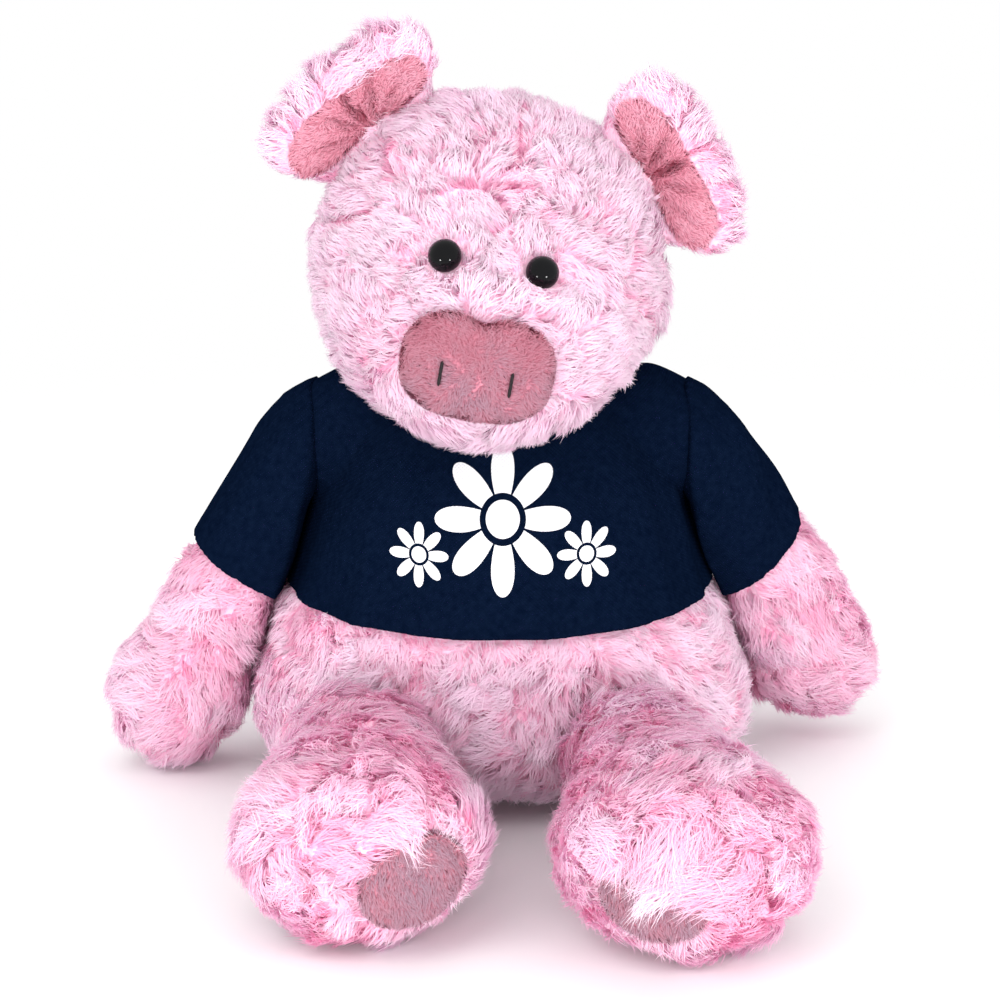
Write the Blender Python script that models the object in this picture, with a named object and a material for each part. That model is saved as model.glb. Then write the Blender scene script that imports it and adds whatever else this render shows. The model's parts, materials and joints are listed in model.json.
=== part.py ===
"""A seated plush pig in a plain T-shirt, made of sewn covers, fillings, trim and cloth.

The pig faces -Y and sits on the XY plane, with the origin in the middle of its seat.
"Right" and "left" are the pig's own. Every cover is a hollow shell, open where it is
sewn on, round a filling of its own.
"""

import math

import bpy
import bmesh
from mathutils import Matrix, Vector
from mathutils.bvhtree import BVHTree

# Fits and fabrics, in metres
gap = 0.0003
overrun = 0.012
weld_distance = 0.000002
cover_thickness = 0.009
limb_cover_thickness = 0.008
knit_thickness = 0.0016
velboa_thickness = 0.0026

# Torso
torso_height = 0.122
hip_half_width = 0.074
belly_half_depth = 0.070
pellet_bag_height = 0.013
# Each row: share of the height, of the half-width, of the half-depth
torso_shares = (
    (0.00, 0.72, 0.44),
    (0.06, 0.91, 0.74),
    (0.14, 1.00, 0.93),
    (0.23, 1.00, 1.00),
    (0.33, 0.94, 0.985),
    (0.43, 0.875, 0.93),
    (0.53, 0.81, 0.85),
    (0.63, 0.765, 0.76),
    (0.73, 0.71, 0.665),
    (0.82, 0.645, 0.575),
    (0.89, 0.57, 0.49),
    (0.95, 0.46, 0.40),
    (1.00, 0.31, 0.28),
)

# Arms, turning about one line across the shoulders
shoulder_height_share = 0.85
shoulder_radius = 0.0165
shoulder_inset_share = 0.04
arm_radius = 0.0195
arm_length = 0.114
hand_half_width = 0.0205
arm_spread = math.radians(31)
arm_swing_back = {"right": math.radians(0), "left": math.radians(20)}
# Each row: share of the length, how far the section has grown to the hand's, its roundness
arm_shares = (
    (0.00, 0.00, 1.00),
    (0.22, 0.00, 1.00),
    (0.48, 0.20, 0.98),
    (0.68, 0.85, 0.97),
    (0.82, 1.00, 0.98),
    (0.92, 1.00, 0.82),
    (0.98, 1.00, 0.52),
    (1.00, 1.00, 0.24),
)

# Legs, each turning about a line across its hip
hip_radius = 0.0225
hip_height = 0.026
hip_azimuth = {"right": math.radians(-27), "left": math.radians(27)}
leg_swing_limit = math.radians(35)
leg_length = {"right": 0.091, "left": 0.100}
leg_toe_out = {"right": math.radians(2), "left": math.radians(8)}
foot_half_width = 0.035
foot_half_height = 0.0265
leg_shares = (
    (0.00, 0.00, 1.00),
    (0.18, 0.05, 1.00),
    (0.38, 0.35, 1.00),
    (0.58, 0.85, 1.00),
    (0.76, 1.00, 0.98),
    (0.88, 1.00, 0.87),
    (0.96, 1.00, 0.66),
    (1.00, 1.00, 0.36),
)
sole_pad_half_width = 0.0150
sole_pad_half_height = 0.0115
sole_pad_turn = math.radians(24)
sole_pad_tilt = math.radians(-3)
sole_pad_roll = math.radians(28)
sole_pad_proud = 0.0006

# Neck and head
neck_radius = 0.018
neck_plug_depth = 0.018
neck_plug_latitude = math.radians(30)
neck_rise = 0.008
neck_forward = 0.005
head_turn_limit = math.radians(20)
head_nod_limit = math.radians(8)
chest_share = 0.4
chest_slope_share = 0.7
head_rise = 0.029
head_forward = 0.017
head_aside = -0.0035
head_roll = math.radians(10)
head_depth = 0.113
head_half_width = 0.051
head_half_height = 0.0505
head_back_share = 0.45
# Each row: share of the depth, of the half-width, of the half-height, and the lift
head_shares = (
    (0.000, 0.16, 0.16, 0.00),
    (0.025, 0.38, 0.38, 0.00),
    (0.08, 0.62, 0.62, 0.00),
    (0.16, 0.80, 0.80, 0.00),
    (0.27, 0.93, 0.93, 0.00),
    (0.40, 0.99, 0.99, 0.00),
    (0.52, 1.00, 0.99, 0.00),
    (0.63, 0.96, 0.93, -0.03),
    (0.73, 0.88, 0.82, -0.11),
    (0.82, 0.80, 0.66, -0.20),
    (0.90, 0.71, 0.54, -0.26),
    (0.96, 0.60, 0.45, -0.29),
    (1.00, 0.46, 0.36, -0.30),
)

# Snout and its two stitches
snout_half_width = 0.0210
snout_half_height = 0.0150
snout_thickness = 0.0100
snout_dip = 0.0030
snout_dip_width = 0.0050
snout_squareness = 2.6
snout_shares = ((0.00, 0.95), (0.35, 1.00), (0.70, 0.97), (0.90, 0.87), (1.00, 0.66))
stitch_radius = 0.0008
stitch_length = 0.0075
stitch_spread = 0.0096
stitch_drop = 0.0024

# Eyes, with a shank through the cover and a washer behind it
eye_radius = 0.0050
eye_dome_height = 0.0042
eye_rim = 0.0008
eye_sink = 0.0025
eye_spread = 0.0137
eye_rise = 0.0107
shank_radius = 0.0020
shank_grip = 0.0060
shank_end = 0.0030
washer_radius = 0.0070
washer_thickness = 0.0016

# Ears
ear_azimuth = {"right": math.radians(-50), "left": math.radians(51.5)}
ear_forward_share = 0.00
ear_length = 0.0215
ear_half_width = 0.0265
ear_half_thickness = 0.0046
ear_root_half_width = 0.0195
ear_cup = 0.0070
ear_pinch = 0.0050
ear_pinch_width_share = 0.30
ear_pinch_length_share = 0.75
ear_squareness = 3.0
# Each row: share of the length, share of the half-width, share of the half-thickness
ear_shares = (
    (0.12, 0.82, 1.00),
    (0.30, 0.97, 1.00),
    (0.52, 1.00, 0.98),
    (0.72, 0.94, 0.92),
    (0.88, 0.77, 0.80),
    (0.97, 0.52, 0.60),
    (1.00, 0.30, 0.40),
)
lining_width_share = 0.88
lining_start_share = 0.06
lining_end_share = 0.72
lining_sink = 0.0018

# Shirt
hem_height_share = 0.48
hem_flare = 0.0022
shirt_ease = 0.0005
fold_depth = 0.0030
fold_count = 7
fold_facing_share = 0.35
crease_depth = 0.0018
crease_facing_share = 0.72
crease_spread_share = 0.10
below_hem_share = 0.12
sleeve_length_share = 0.43
sleeve_ease = 0.0010
neckband_radius = 0.0275
neckband_half_width = 0.0026
neckband_thickness = 0.0018
neckband_clearance = 0.0008

# Tail
tail_height_share = 0.26
tail_radius = 0.0050
tail_root_radius = 0.0058
tail_swing_limit = math.radians(20)
tail_lead = 0.0080
tail_curl_radius = 0.0085
tail_pitch = 0.0115
tail_turns = 1.2
tail_taper_share = 0.35
tail_tip_share = 0.65

# Facets
torso_sides = 26
limb_sides = 16
shirt_sides = 36
ear_sides = 16
tail_sides = 10
tail_steps = 18
snout_sides = 28
cut_sides = 22
bore_sides = 18
small_sides = 12
thread_sides = 8
round_steps = 4
fine_round_steps = 3
first_ring_share = 0.35

fur_pink = (0.85, 0.50, 0.62)
velboa_rose = (0.58, 0.22, 0.30)
navy_knit = (0.0033, 0.0075, 0.022)
fibre_white = (0.85, 0.84, 0.81)
gloss_black = (0.008, 0.008, 0.009)

shoulder_height = torso_height * shoulder_height_share
hem_height = torso_height * hem_height_share
tail_height = torso_height * tail_height_share
sides_of_body = {"right": -1, "left": 1}
world_x = Vector((1, 0, 0))
world_y = Vector((0, 1, 0))
world_z = Vector((0, 0, 1))


def clear_scene():
    for old in list(bpy.data.objects):
        bpy.data.objects.remove(old, do_unlink=True)


def finish(name, colour, roughness):
    material = bpy.data.materials.new(name)
    material.use_nodes = True
    shader = material.node_tree.nodes["Principled BSDF"]
    shader.inputs["Base Color"].default_value = (*colour, 1.0)
    shader.inputs["Roughness"].default_value = roughness
    shader.inputs["Metallic"].default_value = 0.0
    return material


def object_from(name, bm):
    mesh = bpy.data.meshes.new(name)
    bm.to_mesh(mesh)
    bm.free()
    made = bpy.data.objects.new(name, mesh)
    bpy.context.scene.collection.objects.link(made)
    return made


def discard(*tools):
    for tool in tools:
        bpy.data.objects.remove(tool, do_unlink=True)


def combine(target, tool, operation):
    """Cuts, joins or intersects the target with the tool, and keeps the result as its mesh."""
    modifier = target.modifiers.new(tool.name, "BOOLEAN")
    modifier.operation = operation
    modifier.solver = "EXACT"
    modifier.object = tool
    bpy.context.view_layer.update()
    graph = bpy.context.evaluated_depsgraph_get()
    result = bpy.data.meshes.new_from_object(target.evaluated_get(graph))
    bm = bmesh.new()
    bm.from_mesh(result)
    bmesh.ops.remove_doubles(bm, verts=bm.verts, dist=weld_distance)
    bm.to_mesh(result)
    bm.free()
    target.modifiers.clear()
    target.data = result


def cut(target, *tools):
    for tool in tools:
        combine(target, tool, "DIFFERENCE")


def join(target, *tools):
    for tool in tools:
        combine(target, tool, "UNION")


def keep_inside(target, tool):
    combine(target, tool, "INTERSECT")


def blend(start, end, share):
    return start + (end - start) * share


def frame_at(origin, along, across):
    """A frame with its Z along a piece and its X as near as can be to `across`."""
    z_axis = along.normalized()
    x_axis = (across - z_axis * across.dot(z_axis)).normalized()
    y_axis = z_axis.cross(x_axis)
    turn = Matrix((x_axis, y_axis, z_axis)).transposed().to_4x4()
    return Matrix.Translation(origin) @ turn


def circle(angle):
    return math.cos(angle), math.sin(angle)


def rounded(squareness):
    """A section between an ellipse and a rectangle."""

    def section(angle):
        across, deep = math.cos(angle), math.sin(angle)
        power = 2 / squareness
        return (
            math.copysign(abs(across) ** power, across),
            math.copysign(abs(deep) ** power, deep),
        )

    return section


def loft(name, rows, frame, sides, section=circle, bend=None):
    """A closed skin over rows of (along, half-width, half-depth, shift), from low to high."""
    bm = bmesh.new()
    loops = []
    for along, half_width, half_depth, shift in rows:
        loop = []
        for side in range(sides):
            angle = math.tau * side / sides
            across, deep = section(angle)
            point = Vector((across * half_width, shift + deep * half_depth, along))
            if bend:
                point = bend(point)
            loop.append(bm.verts.new(frame @ point))
        loops.append(loop)
    for lower, upper in zip(loops, loops[1:]):
        for side in range(sides):
            after = (side + 1) % sides
            bm.faces.new((lower[side], lower[after], upper[after]))
            bm.faces.new((lower[side], upper[after], upper[side]))
    bm.faces.new(reversed(loops[0]))
    bm.faces.new(loops[-1])
    return object_from(name, bm)


def turned(name, profile, frame, sides=cut_sides):
    """A turned solid from a profile of (along, radius), with flat ends."""
    rows = [(along, radius, radius, 0) for along, radius in profile]
    return loft(name, rows, frame, sides)


def ball_rows(radius, steps=round_steps, whole=False):
    """The rows of a ball's lower half, or of a whole ball."""
    last = 2 * steps - 1 if whole else steps - 1
    rows = []
    for step in range(last + 1):
        angle = math.pi / 2 * (step + first_ring_share) / steps
        if whole:
            angle = math.pi * (step + first_ring_share) / (last + 2 * first_ring_share)
        reach = radius * math.sin(angle)
        rows.append((-radius * math.cos(angle), reach, reach, 0))
    return rows


def ball_cutter(name, centre, radius):
    """A faceted ball that leaves a true ball of this radius clear."""
    grown = radius / math.cos(math.pi / cut_sides) ** 2
    rows = ball_rows(grown, cut_sides // 4, whole=True)
    return loft(name, rows, Matrix.Translation(centre), cut_sides)


def block(name, low, high):
    bm = bmesh.new()
    bmesh.ops.create_cube(bm, size=1)
    size = [b - a for a, b in zip(low, high)]
    centre = [(a + b) / 2 for a, b in zip(low, high)]
    bmesh.ops.scale(bm, vec=size, verts=bm.verts)
    bmesh.ops.translate(bm, vec=centre, verts=bm.verts)
    return object_from(name, bm)


def coarse(rows):
    """Every other row, with both ends kept, for the hidden inner surfaces."""
    return rows[:-1:2] + rows[-1:]


def surface_tree(*solids):
    """A search tree over the faces of one or more solids, for finding points on them."""
    points = []
    faces = []
    for solid in solids:
        first = len(points)
        points += [solid.matrix_world @ vertex.co for vertex in solid.data.vertices]
        for face in solid.data.polygons:
            faces.append([first + index for index in face.vertices])
    return BVHTree.FromPolygons(points, faces)


def torso_rows(inset=0.0):
    height = torso_height - 2 * inset
    rows = []
    for along_share, width_share, depth_share in torso_shares:
        along = inset + along_share * height
        half_width = width_share * (hip_half_width - inset)
        half_depth = depth_share * (belly_half_depth - inset)
        rows.append((along, half_width, half_depth, 0))
    return rows


def torso_half_width(height):
    """The torso's half-width at a height, never less than at the heights above it."""
    widest = 0.0
    rows = torso_rows()
    for (low, low_width, _, _), (high, high_width, _, _) in zip(rows, rows[1:]):
        if high <= height:
            continue
        start = max(low, height)
        share = (start - low) / (high - low)
        widest = max(widest, blend(low_width, high_width, share), high_width)
    return widest


def shoulder_frame():
    return frame_at(Vector((0, 0, shoulder_height)), world_x, world_y)


def dish(name, clearance, rim, outer_clearance=None, sides=cut_sides):
    """The space that the torso takes as seen by an arm that swings, turned about the
    shoulder line: within `rim` of the line it stands `clearance` off the torso's side,
    and beyond it `outer_clearance`."""
    depths = sorted(shoulder_height - row[0] for row in torso_rows() if row[0] < shoulder_height)
    inside = [gap] + [depth for depth in depths if gap < depth < rim - gap] + [rim]
    side = []
    for radius in inside:
        side.append((torso_half_width(shoulder_height - radius) + clearance, radius))
    if outer_clearance is not None:
        outside = [depth for depth in depths if depth > rim + gap] + [shoulder_height + overrun]
        if outer_clearance != clearance:
            outside.insert(0, rim)
        for radius in outside:
            half_width = torso_half_width(max(shoulder_height - radius, 0))
            side.append((half_width + outer_clearance, radius))
    profile = [(-along, radius) for along, radius in side]
    profile += [(along, radius) for along, radius in reversed(side)]
    return turned(name, profile, shoulder_frame(), sides)


def shoulder_point(side):
    inward = shoulder_inset_share * hip_half_width
    along = torso_half_width(shoulder_height) + inward
    return Vector((sides_of_body[side] * along, 0, shoulder_height))


def arm_frame(side):
    swing = Matrix.Rotation(arm_swing_back[side], 4, "X")
    along = Vector((sides_of_body[side] * math.sin(arm_spread), 0, -math.cos(arm_spread)))
    return frame_at(shoulder_point(side), swing @ along, world_y)


def limb_rows(root_radius, length, half_width, half_depth, shares, inset=0.0):
    """The rows of a limb from its round root, about the joint, to its rounded end."""
    rows = ball_rows(root_radius - inset)
    for along_share, grown_share, round_share in shares:
        width = blend(root_radius, half_width, grown_share) - inset
        depth = blend(root_radius, half_depth, grown_share) - inset
        along = along_share * (length - inset)
        rows.append((along, width * round_share, depth * round_share, 0))
    return rows


def arm_rows(inset=0.0):
    return limb_rows(arm_radius, arm_length, hand_half_width, hand_half_width, arm_shares, inset)


def leg_rows(side, inset=0.0):
    return limb_rows(
        hip_radius, leg_length[side], foot_half_width, foot_half_height, leg_shares, inset
    )


def hip_point(side):
    """The hip's centre stands off the torso just enough for the leg to swing clear."""
    azimuth = hip_azimuth[side]
    rows = torso_rows()
    for (low, low_width, low_depth, _), (high, high_width, high_depth, _) in zip(rows, rows[1:]):
        if low <= hip_height <= high:
            share = (hip_height - low) / (high - low)
            half_width = blend(low_width, high_width, share)
            half_depth = blend(low_depth, high_depth, share)
    on_torso = Vector((half_width * math.sin(azimuth), -half_depth * math.cos(azimuth), 0))
    outward = Vector((on_torso.x / half_width**2, on_torso.y / half_depth**2, 0)).normalized()
    standoff = hip_radius * math.sin(leg_swing_limit) + gap
    return on_torso + outward * standoff + world_z * hip_height


def leg_frame(side):
    toe_out = leg_toe_out[side]
    along = Vector((math.sin(toe_out), -math.cos(toe_out), 0))
    return frame_at(hip_point(side), along, world_x)


def tail_point(torso):
    hit, normal, _, _ = torso.ray_cast(
        Vector((0, belly_half_depth + overrun, tail_height)), -world_y
    )
    standoff = tail_root_radius * math.sin(tail_swing_limit) + gap
    return hit + world_y * standoff


neck_point = Vector((0, -neck_forward, torso_height + neck_rise))
head_turned = Matrix.Rotation(head_roll, 4, "Y")
head_centre = neck_point + Vector((head_aside, -head_forward, head_rise))


def head_frame():
    """X across the face, Y up it, Z out through the snout, from the back of the head."""
    back = Matrix.Translation((0, 0, -head_depth * head_back_share))
    upright = Matrix.Rotation(math.pi / 2, 4, "X")
    return Matrix.Translation(head_centre) @ head_turned @ upright @ back


def head_rows(inset=0.0):
    depth = head_depth - 2 * inset
    rows = []
    for along_share, width_share, height_share, lift_share in head_shares:
        half_width = width_share * (head_half_width - inset)
        half_height = height_share * (head_half_height - inset)
        lift = lift_share * head_half_height
        rows.append((inset + along_share * depth, half_width, half_height, lift))
    return rows


def make_torso():
    cover = loft("torso_cover", torso_rows(), Matrix(), torso_sides)
    yoke = dish("yoke", 0.0, shoulder_radius)
    join(cover, yoke)
    inner = loft("inner", coarse(torso_rows(cover_thickness)), Matrix(), torso_sides // 2)
    fill_rows = coarse(torso_rows(cover_thickness + gap))
    fill = loft("torso_fill", fill_rows, Matrix(), torso_sides // 2)
    bag = loft("pellet_bag", fill_rows, Matrix(), torso_sides // 2)
    cut(cover, inner)
    reach = hip_half_width + belly_half_depth
    bag_top = cover_thickness + gap + pellet_bag_height
    above = block("above", (-reach, -reach, bag_top), (reach, reach, torso_height + reach))
    below = block("below", (-reach, -reach, -reach), (reach, reach, bag_top + gap))
    cut(bag, above)
    cut(fill, below)
    hips = [
        ball_cutter("hip_socket", hip_point(side), hip_radius + gap) for side in sides_of_body
    ]
    for solid in (cover, fill):
        cut(solid, *hips)
    discard(yoke, inner, above, below, *hips)
    return cover, fill, bag


def make_neck(torso_pieces):
    """A ball that the head sits on, and below it a plug that turns in the torso."""
    frame = Matrix.Translation(neck_point)
    plug_radius = neck_radius * math.cos(neck_plug_latitude)
    plug_top = -neck_radius * math.sin(neck_plug_latitude)
    profile = [(-neck_plug_depth, plug_radius), (plug_top, plug_radius)]
    for along, radius, _, _ in ball_rows(neck_radius, whole=True):
        if along > plug_top + gap:
            profile.append((along, radius))
    plug = turned("neck_stuffing", profile, frame)
    seat = ball_cutter("neck_seat", neck_point, neck_radius + gap)
    well_radius = (plug_radius + gap) / math.cos(math.pi / bore_sides)
    well_depth = neck_plug_depth + gap
    well = turned("neck_well", [(-well_depth, well_radius), (0, well_radius)], frame, bore_sides)
    for solid in torso_pieces:
        cut(solid, seat, well)
    discard(well)
    return plug, seat


def make_shirt():
    """The shirt's body hangs from the shoulders, with its main folds towards the hem."""
    inner_inset = -(gap + shirt_ease)
    outer_inset = inner_inset - knit_thickness

    def drape(point):
        around = math.atan2(point.y, point.x)
        down = min(max((shoulder_height - point.z) / (shoulder_height - hem_height), 0), 1)
        facing = max(abs(math.sin(around)) - fold_facing_share, 0)
        wave = fold_depth * (1 + math.cos(fold_count * 2 * around)) / 2
        offset = (abs(math.cos(around)) - crease_facing_share) / crease_spread_share
        crease = crease_depth * math.exp(-(offset**2)) * math.sin(math.pi * down)
        out = (wave + hem_flare) * facing * down**2 + crease
        away = Vector((point.x, point.y, 0)).normalized()
        return point + away * out

    def half(name, inset, yoke_clearance, rim, sides):
        rows = dense(torso_rows(inset), hem_height)
        made = loft(name, rows, Matrix(), shirt_sides, bend=drape)
        yoke = dish("shirt_yoke", yoke_clearance, rim, sides=sides)
        join(made, yoke)
        discard(yoke)
        return made

    outer_gap = gap + knit_thickness
    shirt = half("shirt_body", outer_inset, outer_gap, shoulder_radius + outer_gap, cut_sides)
    armhole_radius = (shoulder_radius + gap) / math.cos(math.pi / bore_sides)
    hollow = half("hollow", inner_inset, overrun, armhole_radius, bore_sides)
    reach = hip_half_width + belly_half_depth
    below = block("below", (-reach, -reach, -reach), (reach, reach, hem_height))
    outside = surface_tree(shirt)
    neck_hole_radius = neckband_radius - neckband_half_width
    neck_hole = turned(
        "neck_hole",
        [(-neck_plug_depth, neck_hole_radius), (neck_rise + overrun, neck_hole_radius)],
        Matrix.Translation(neck_point),
    )
    cut(shirt, hollow, below, neck_hole)
    discard(hollow, below, neck_hole)
    return shirt, outside


def dense(rows, hem):
    """The torso's rows from just below the hem up."""
    return [row for row in rows if row[0] > hem - torso_height * below_hem_share]


def make_neckband(outside):
    """A ribbed band that follows the shirt round the neck hole."""
    bm = bmesh.new()
    count = cut_sides
    loops = []
    top = 0.0
    for step in range(count):
        angle = math.tau * step / count
        under = []
        for share in (-1, 0, 1):
            radius = neckband_radius + share * neckband_half_width
            spot = neck_point + Vector((radius * math.cos(angle), radius * math.sin(angle), 0))
            hit, _, _, _ = outside.ray_cast(spot + world_z * overrun, -world_z)
            under.append(hit + world_z * neckband_clearance)
        over = [point + world_z * neckband_thickness for point in reversed(under)]
        top = max(top, *(point.z for point in over))
        loops.append([bm.verts.new(point) for point in under + over])
    for step in range(count):
        here, there = loops[step], loops[(step + 1) % count]
        for corner in range(len(here)):
            after = (corner + 1) % len(here)
            bm.faces.new((here[corner], there[corner], there[after], here[after]))
    bmesh.ops.recalc_face_normals(bm, faces=bm.faces)
    return object_from("shirt_neckband", bm), top


def head_relief(top):
    """What the head leaves free below it, so that it can turn and nod on the neck.

    Round the neck it is one turned shape. Over the shoulders it reaches out as far as
    they come under the head when it turns either way.
    """
    rise = math.tan(head_nod_limit)
    base = top + gap - neck_point.z
    low = -neck_point.z
    frame = Matrix.Translation(neck_point)
    collar = neckband_radius + neckband_half_width + gap
    chest = blend(collar, belly_half_depth, chest_share)
    reach = hip_half_width + overrun
    turning = turned(
        "turning",
        [
            (low, chest + gap),
            (base - shoulder_radius, chest + gap),
            (base - shoulder_radius / 2, blend(collar, chest, chest_slope_share)),
            (base + collar * rise, collar),
            (base, gap),
        ],
        frame,
        bore_sides,
    )
    roof = turned("roof", [(low, reach), (base + reach * rise, reach), (base, gap)], frame)
    bm = bmesh.new()
    half = arm_radius + gap + knit_thickness + gap
    outline = []
    for side in (-1, 1):
        for turn, edge in ((-1, -1), (-0.5, 0), (0, 0), (0.5, 0), (1, 1)):
            angle = turn * head_turn_limit
            along, across = reach, edge * half
            outline.append(
                Vector(
                    (
                        side * (along * math.cos(angle) - across * math.sin(angle)),
                        side * (along * math.sin(angle) + across * math.cos(angle)),
                        0,
                    )
                )
            )
    waist = half / math.cos(head_turn_limit)
    outline.insert(5, Vector((0, waist, 0)))
    outline.append(Vector((0, -waist, 0)))
    outline.sort(key=lambda point: math.atan2(point.y, point.x))
    bottom = [bm.verts.new(neck_point + point + world_z * low) for point in outline]
    upper = [bm.verts.new(neck_point + point + world_z * reach) for point in outline]
    for index in range(len(bottom)):
        after = (index + 1) % len(bottom)
        bm.faces.new((bottom[index], bottom[after], upper[after], upper[index]))
    bm.faces.new(reversed(bottom))
    bm.faces.new(upper)
    sweep = object_from("sweep", bm)
    keep_inside(sweep, roof)
    discard(roof)
    return turning, sweep


def eye_frame(tree, side):
    """On the face, looking halfway between straight ahead and straight out of the fur."""
    frame = head_frame()
    spot = Vector((sides_of_body[side] * eye_spread, eye_rise, head_depth + overrun))
    ahead = (frame.to_3x3() @ world_z).normalized()
    hit, normal, _, _ = tree.ray_cast(frame @ spot, -ahead)
    return frame_at(hit, normal + ahead, world_x)


def make_eye(side, frame):
    """A domed safety eye, its washer, and the pocket that both take in the head."""
    seat = -eye_sink
    grip = seat - shank_grip
    end = grip - washer_thickness - shank_end
    profile = [(end, shank_radius), (seat + gap, shank_radius), (seat + gap, eye_radius)]
    rim = seat + gap + eye_rim
    for along, radius, _, _ in reversed(ball_rows(1.0)):
        profile.append((rim - along * eye_dome_height, radius * eye_radius))
    profile.insert(3, (rim, eye_radius))
    eye = turned(f"eye_{side}", profile, frame, small_sides)
    hole = (shank_radius + gap) / math.cos(math.pi / small_sides)
    pocket_radius = (eye_radius + gap) / math.cos(math.pi / small_sides)
    washer_pocket = (washer_radius + gap) / math.cos(math.pi / small_sides)
    pocket = turned(
        f"pocket_{side}",
        [
            (end - gap, washer_pocket),
            (grip, washer_pocket),
            (grip, hole),
            (seat, hole),
            (seat, pocket_radius),
            (eye_radius + overrun, pocket_radius),
        ],
        frame,
        small_sides,
    )
    back = grip - gap - washer_thickness
    washer = turned(
        f"eye_washer_{side}",
        [(back, washer_radius), (grip - gap, washer_radius)],
        frame,
        small_sides,
    )
    bore = turned("bore", [(back - gap, hole), (grip, hole)], frame, small_sides)
    cut(washer, bore)
    discard(bore)
    return eye, washer, pocket


def snout_section(angle):
    """A rounded rectangle with a dip in the middle of its top edge."""
    across, up = rounded(snout_squareness)(angle)
    if up > 0:
        offset = across * snout_half_width / snout_dip_width
        up -= snout_dip / snout_half_height * math.exp(-(offset**2))
    return across, up


def make_snout():
    frame = head_frame()
    seat = head_depth + gap
    lift = head_shares[-1][3] * head_half_height
    rows = []
    for along_share, grown_share in snout_shares:
        along = seat + along_share * snout_thickness
        rows.append((along, grown_share * snout_half_width, grown_share * snout_half_height, lift))
    snout = loft("snout_patch", rows, frame, snout_sides, section=snout_section)
    stitches = []
    for side, sign in sides_of_body.items():
        centre = frame @ Vector((sign * stitch_spread, lift - stitch_drop, seat + snout_thickness))
        across = frame.to_3x3() @ world_x
        down = frame_at(centre, frame.to_3x3() @ -world_y, across)
        half = stitch_length / 2
        stitch = turned(
            f"nostril_stitch_{side}",
            [
                (-half, stitch_radius / 2),
                (-half + stitch_radius, stitch_radius),
                (half - stitch_radius, stitch_radius),
                (half, stitch_radius / 2),
            ],
            down,
            thread_sides,
        )
        grown = (stitch_radius + gap) / math.cos(math.pi / thread_sides)
        reach = half + gap
        groove = turned("groove", [(-reach, grown), (reach, grown)], down, thread_sides)
        cut(snout, groove)
        discard(groove)
        stitches.append(stitch)
    return snout, stitches


def make_head(relief, seat):
    frame = head_frame()
    cover = loft("head_cover", head_rows(), frame, torso_sides)
    tree = surface_tree(cover)
    inner = loft("inner", coarse(head_rows(cover_thickness)), frame, torso_sides // 2)
    fill = loft("head_fill", coarse(head_rows(cover_thickness + gap)), frame, torso_sides // 2)
    cut(cover, inner)
    eyes, washers, pockets = [], [], []
    for side in sides_of_body:
        eye, washer, pocket = make_eye(side, eye_frame(tree, side))
        eyes.append(eye)
        washers.append(washer)
        pockets.append(pocket)
    for solid in (cover, fill):
        cut(solid, *relief, seat, *pockets)
    discard(inner, *pockets)
    return cover, fill, eyes, washers, tree


def ear_frame(tree, side):
    """Its origin is on the flop axis, half the ear's thickness above the head."""
    frame = head_frame()
    azimuth = ear_azimuth[side]
    middle = Vector((0, 0, head_depth * (head_back_share + ear_forward_share)))
    outward = Vector((math.sin(azimuth), math.cos(azimuth), 0))
    turn = frame.to_3x3()
    direction = turn @ outward
    start = frame @ (middle + outward * (head_half_width + head_half_height))
    hit, normal, _, _ = tree.ray_cast(start, -direction)
    across = turn @ Vector((math.cos(azimuth), -math.sin(azimuth), 0))
    origin = hit + direction * ((ear_half_thickness + gap) / direction.dot(normal))
    return frame_at(origin, direction, across)


def cupped(point):
    """The ear's edges curl forward, more so away from its root, and a fold runs up its middle."""
    share = min(max(point.z / ear_length, 0), 1)
    across = point.x / ear_half_width
    curl = ear_cup * share * across**2
    along_fold = min(share / ear_pinch_length_share, 1)
    fold = ear_pinch * math.exp(-((across / ear_pinch_width_share) ** 2)) * math.sin(math.pi * along_fold)
    return Vector((point.x, point.y - curl + fold, point.z))


def make_ear(side, frame):
    rows = []
    for along, reach, _, _ in ball_rows(ear_half_thickness, fine_round_steps):
        rows.append((along, ear_root_half_width - ear_half_thickness + reach, reach, 0))
    for along_share, width_share, thick_share in ear_shares:
        rows.append(
            (
                along_share * ear_length,
                width_share * ear_half_width,
                thick_share * ear_half_thickness,
                0,
            )
        )
    back = loft(f"ear_back_{side}", rows, frame, ear_sides, rounded(ear_squareness), cupped)

    def patch(name, grown):
        patch_rows = []
        shift = -(ear_half_thickness - lining_sink + velboa_thickness / 2)
        for along_share, width_share, _ in ear_shares[:-1]:
            along = ear_length * blend(lining_start_share, lining_end_share, along_share)
            half_width = width_share * ear_half_width * lining_width_share + grown
            patch_rows.append((along, half_width, velboa_thickness / 2 + grown, shift))
        first, last = patch_rows[0], patch_rows[-1]
        patch_rows[0] = (first[0] - grown, *first[1:])
        patch_rows[-1] = (last[0] + grown, *last[1:])
        return loft(name, patch_rows, frame, ear_sides, rounded(ear_squareness), cupped)

    lining = patch(f"ear_lining_{side}", 0.0)
    recess = patch("recess", gap)
    cut(back, recess)
    discard(recess)
    return back, lining


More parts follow.
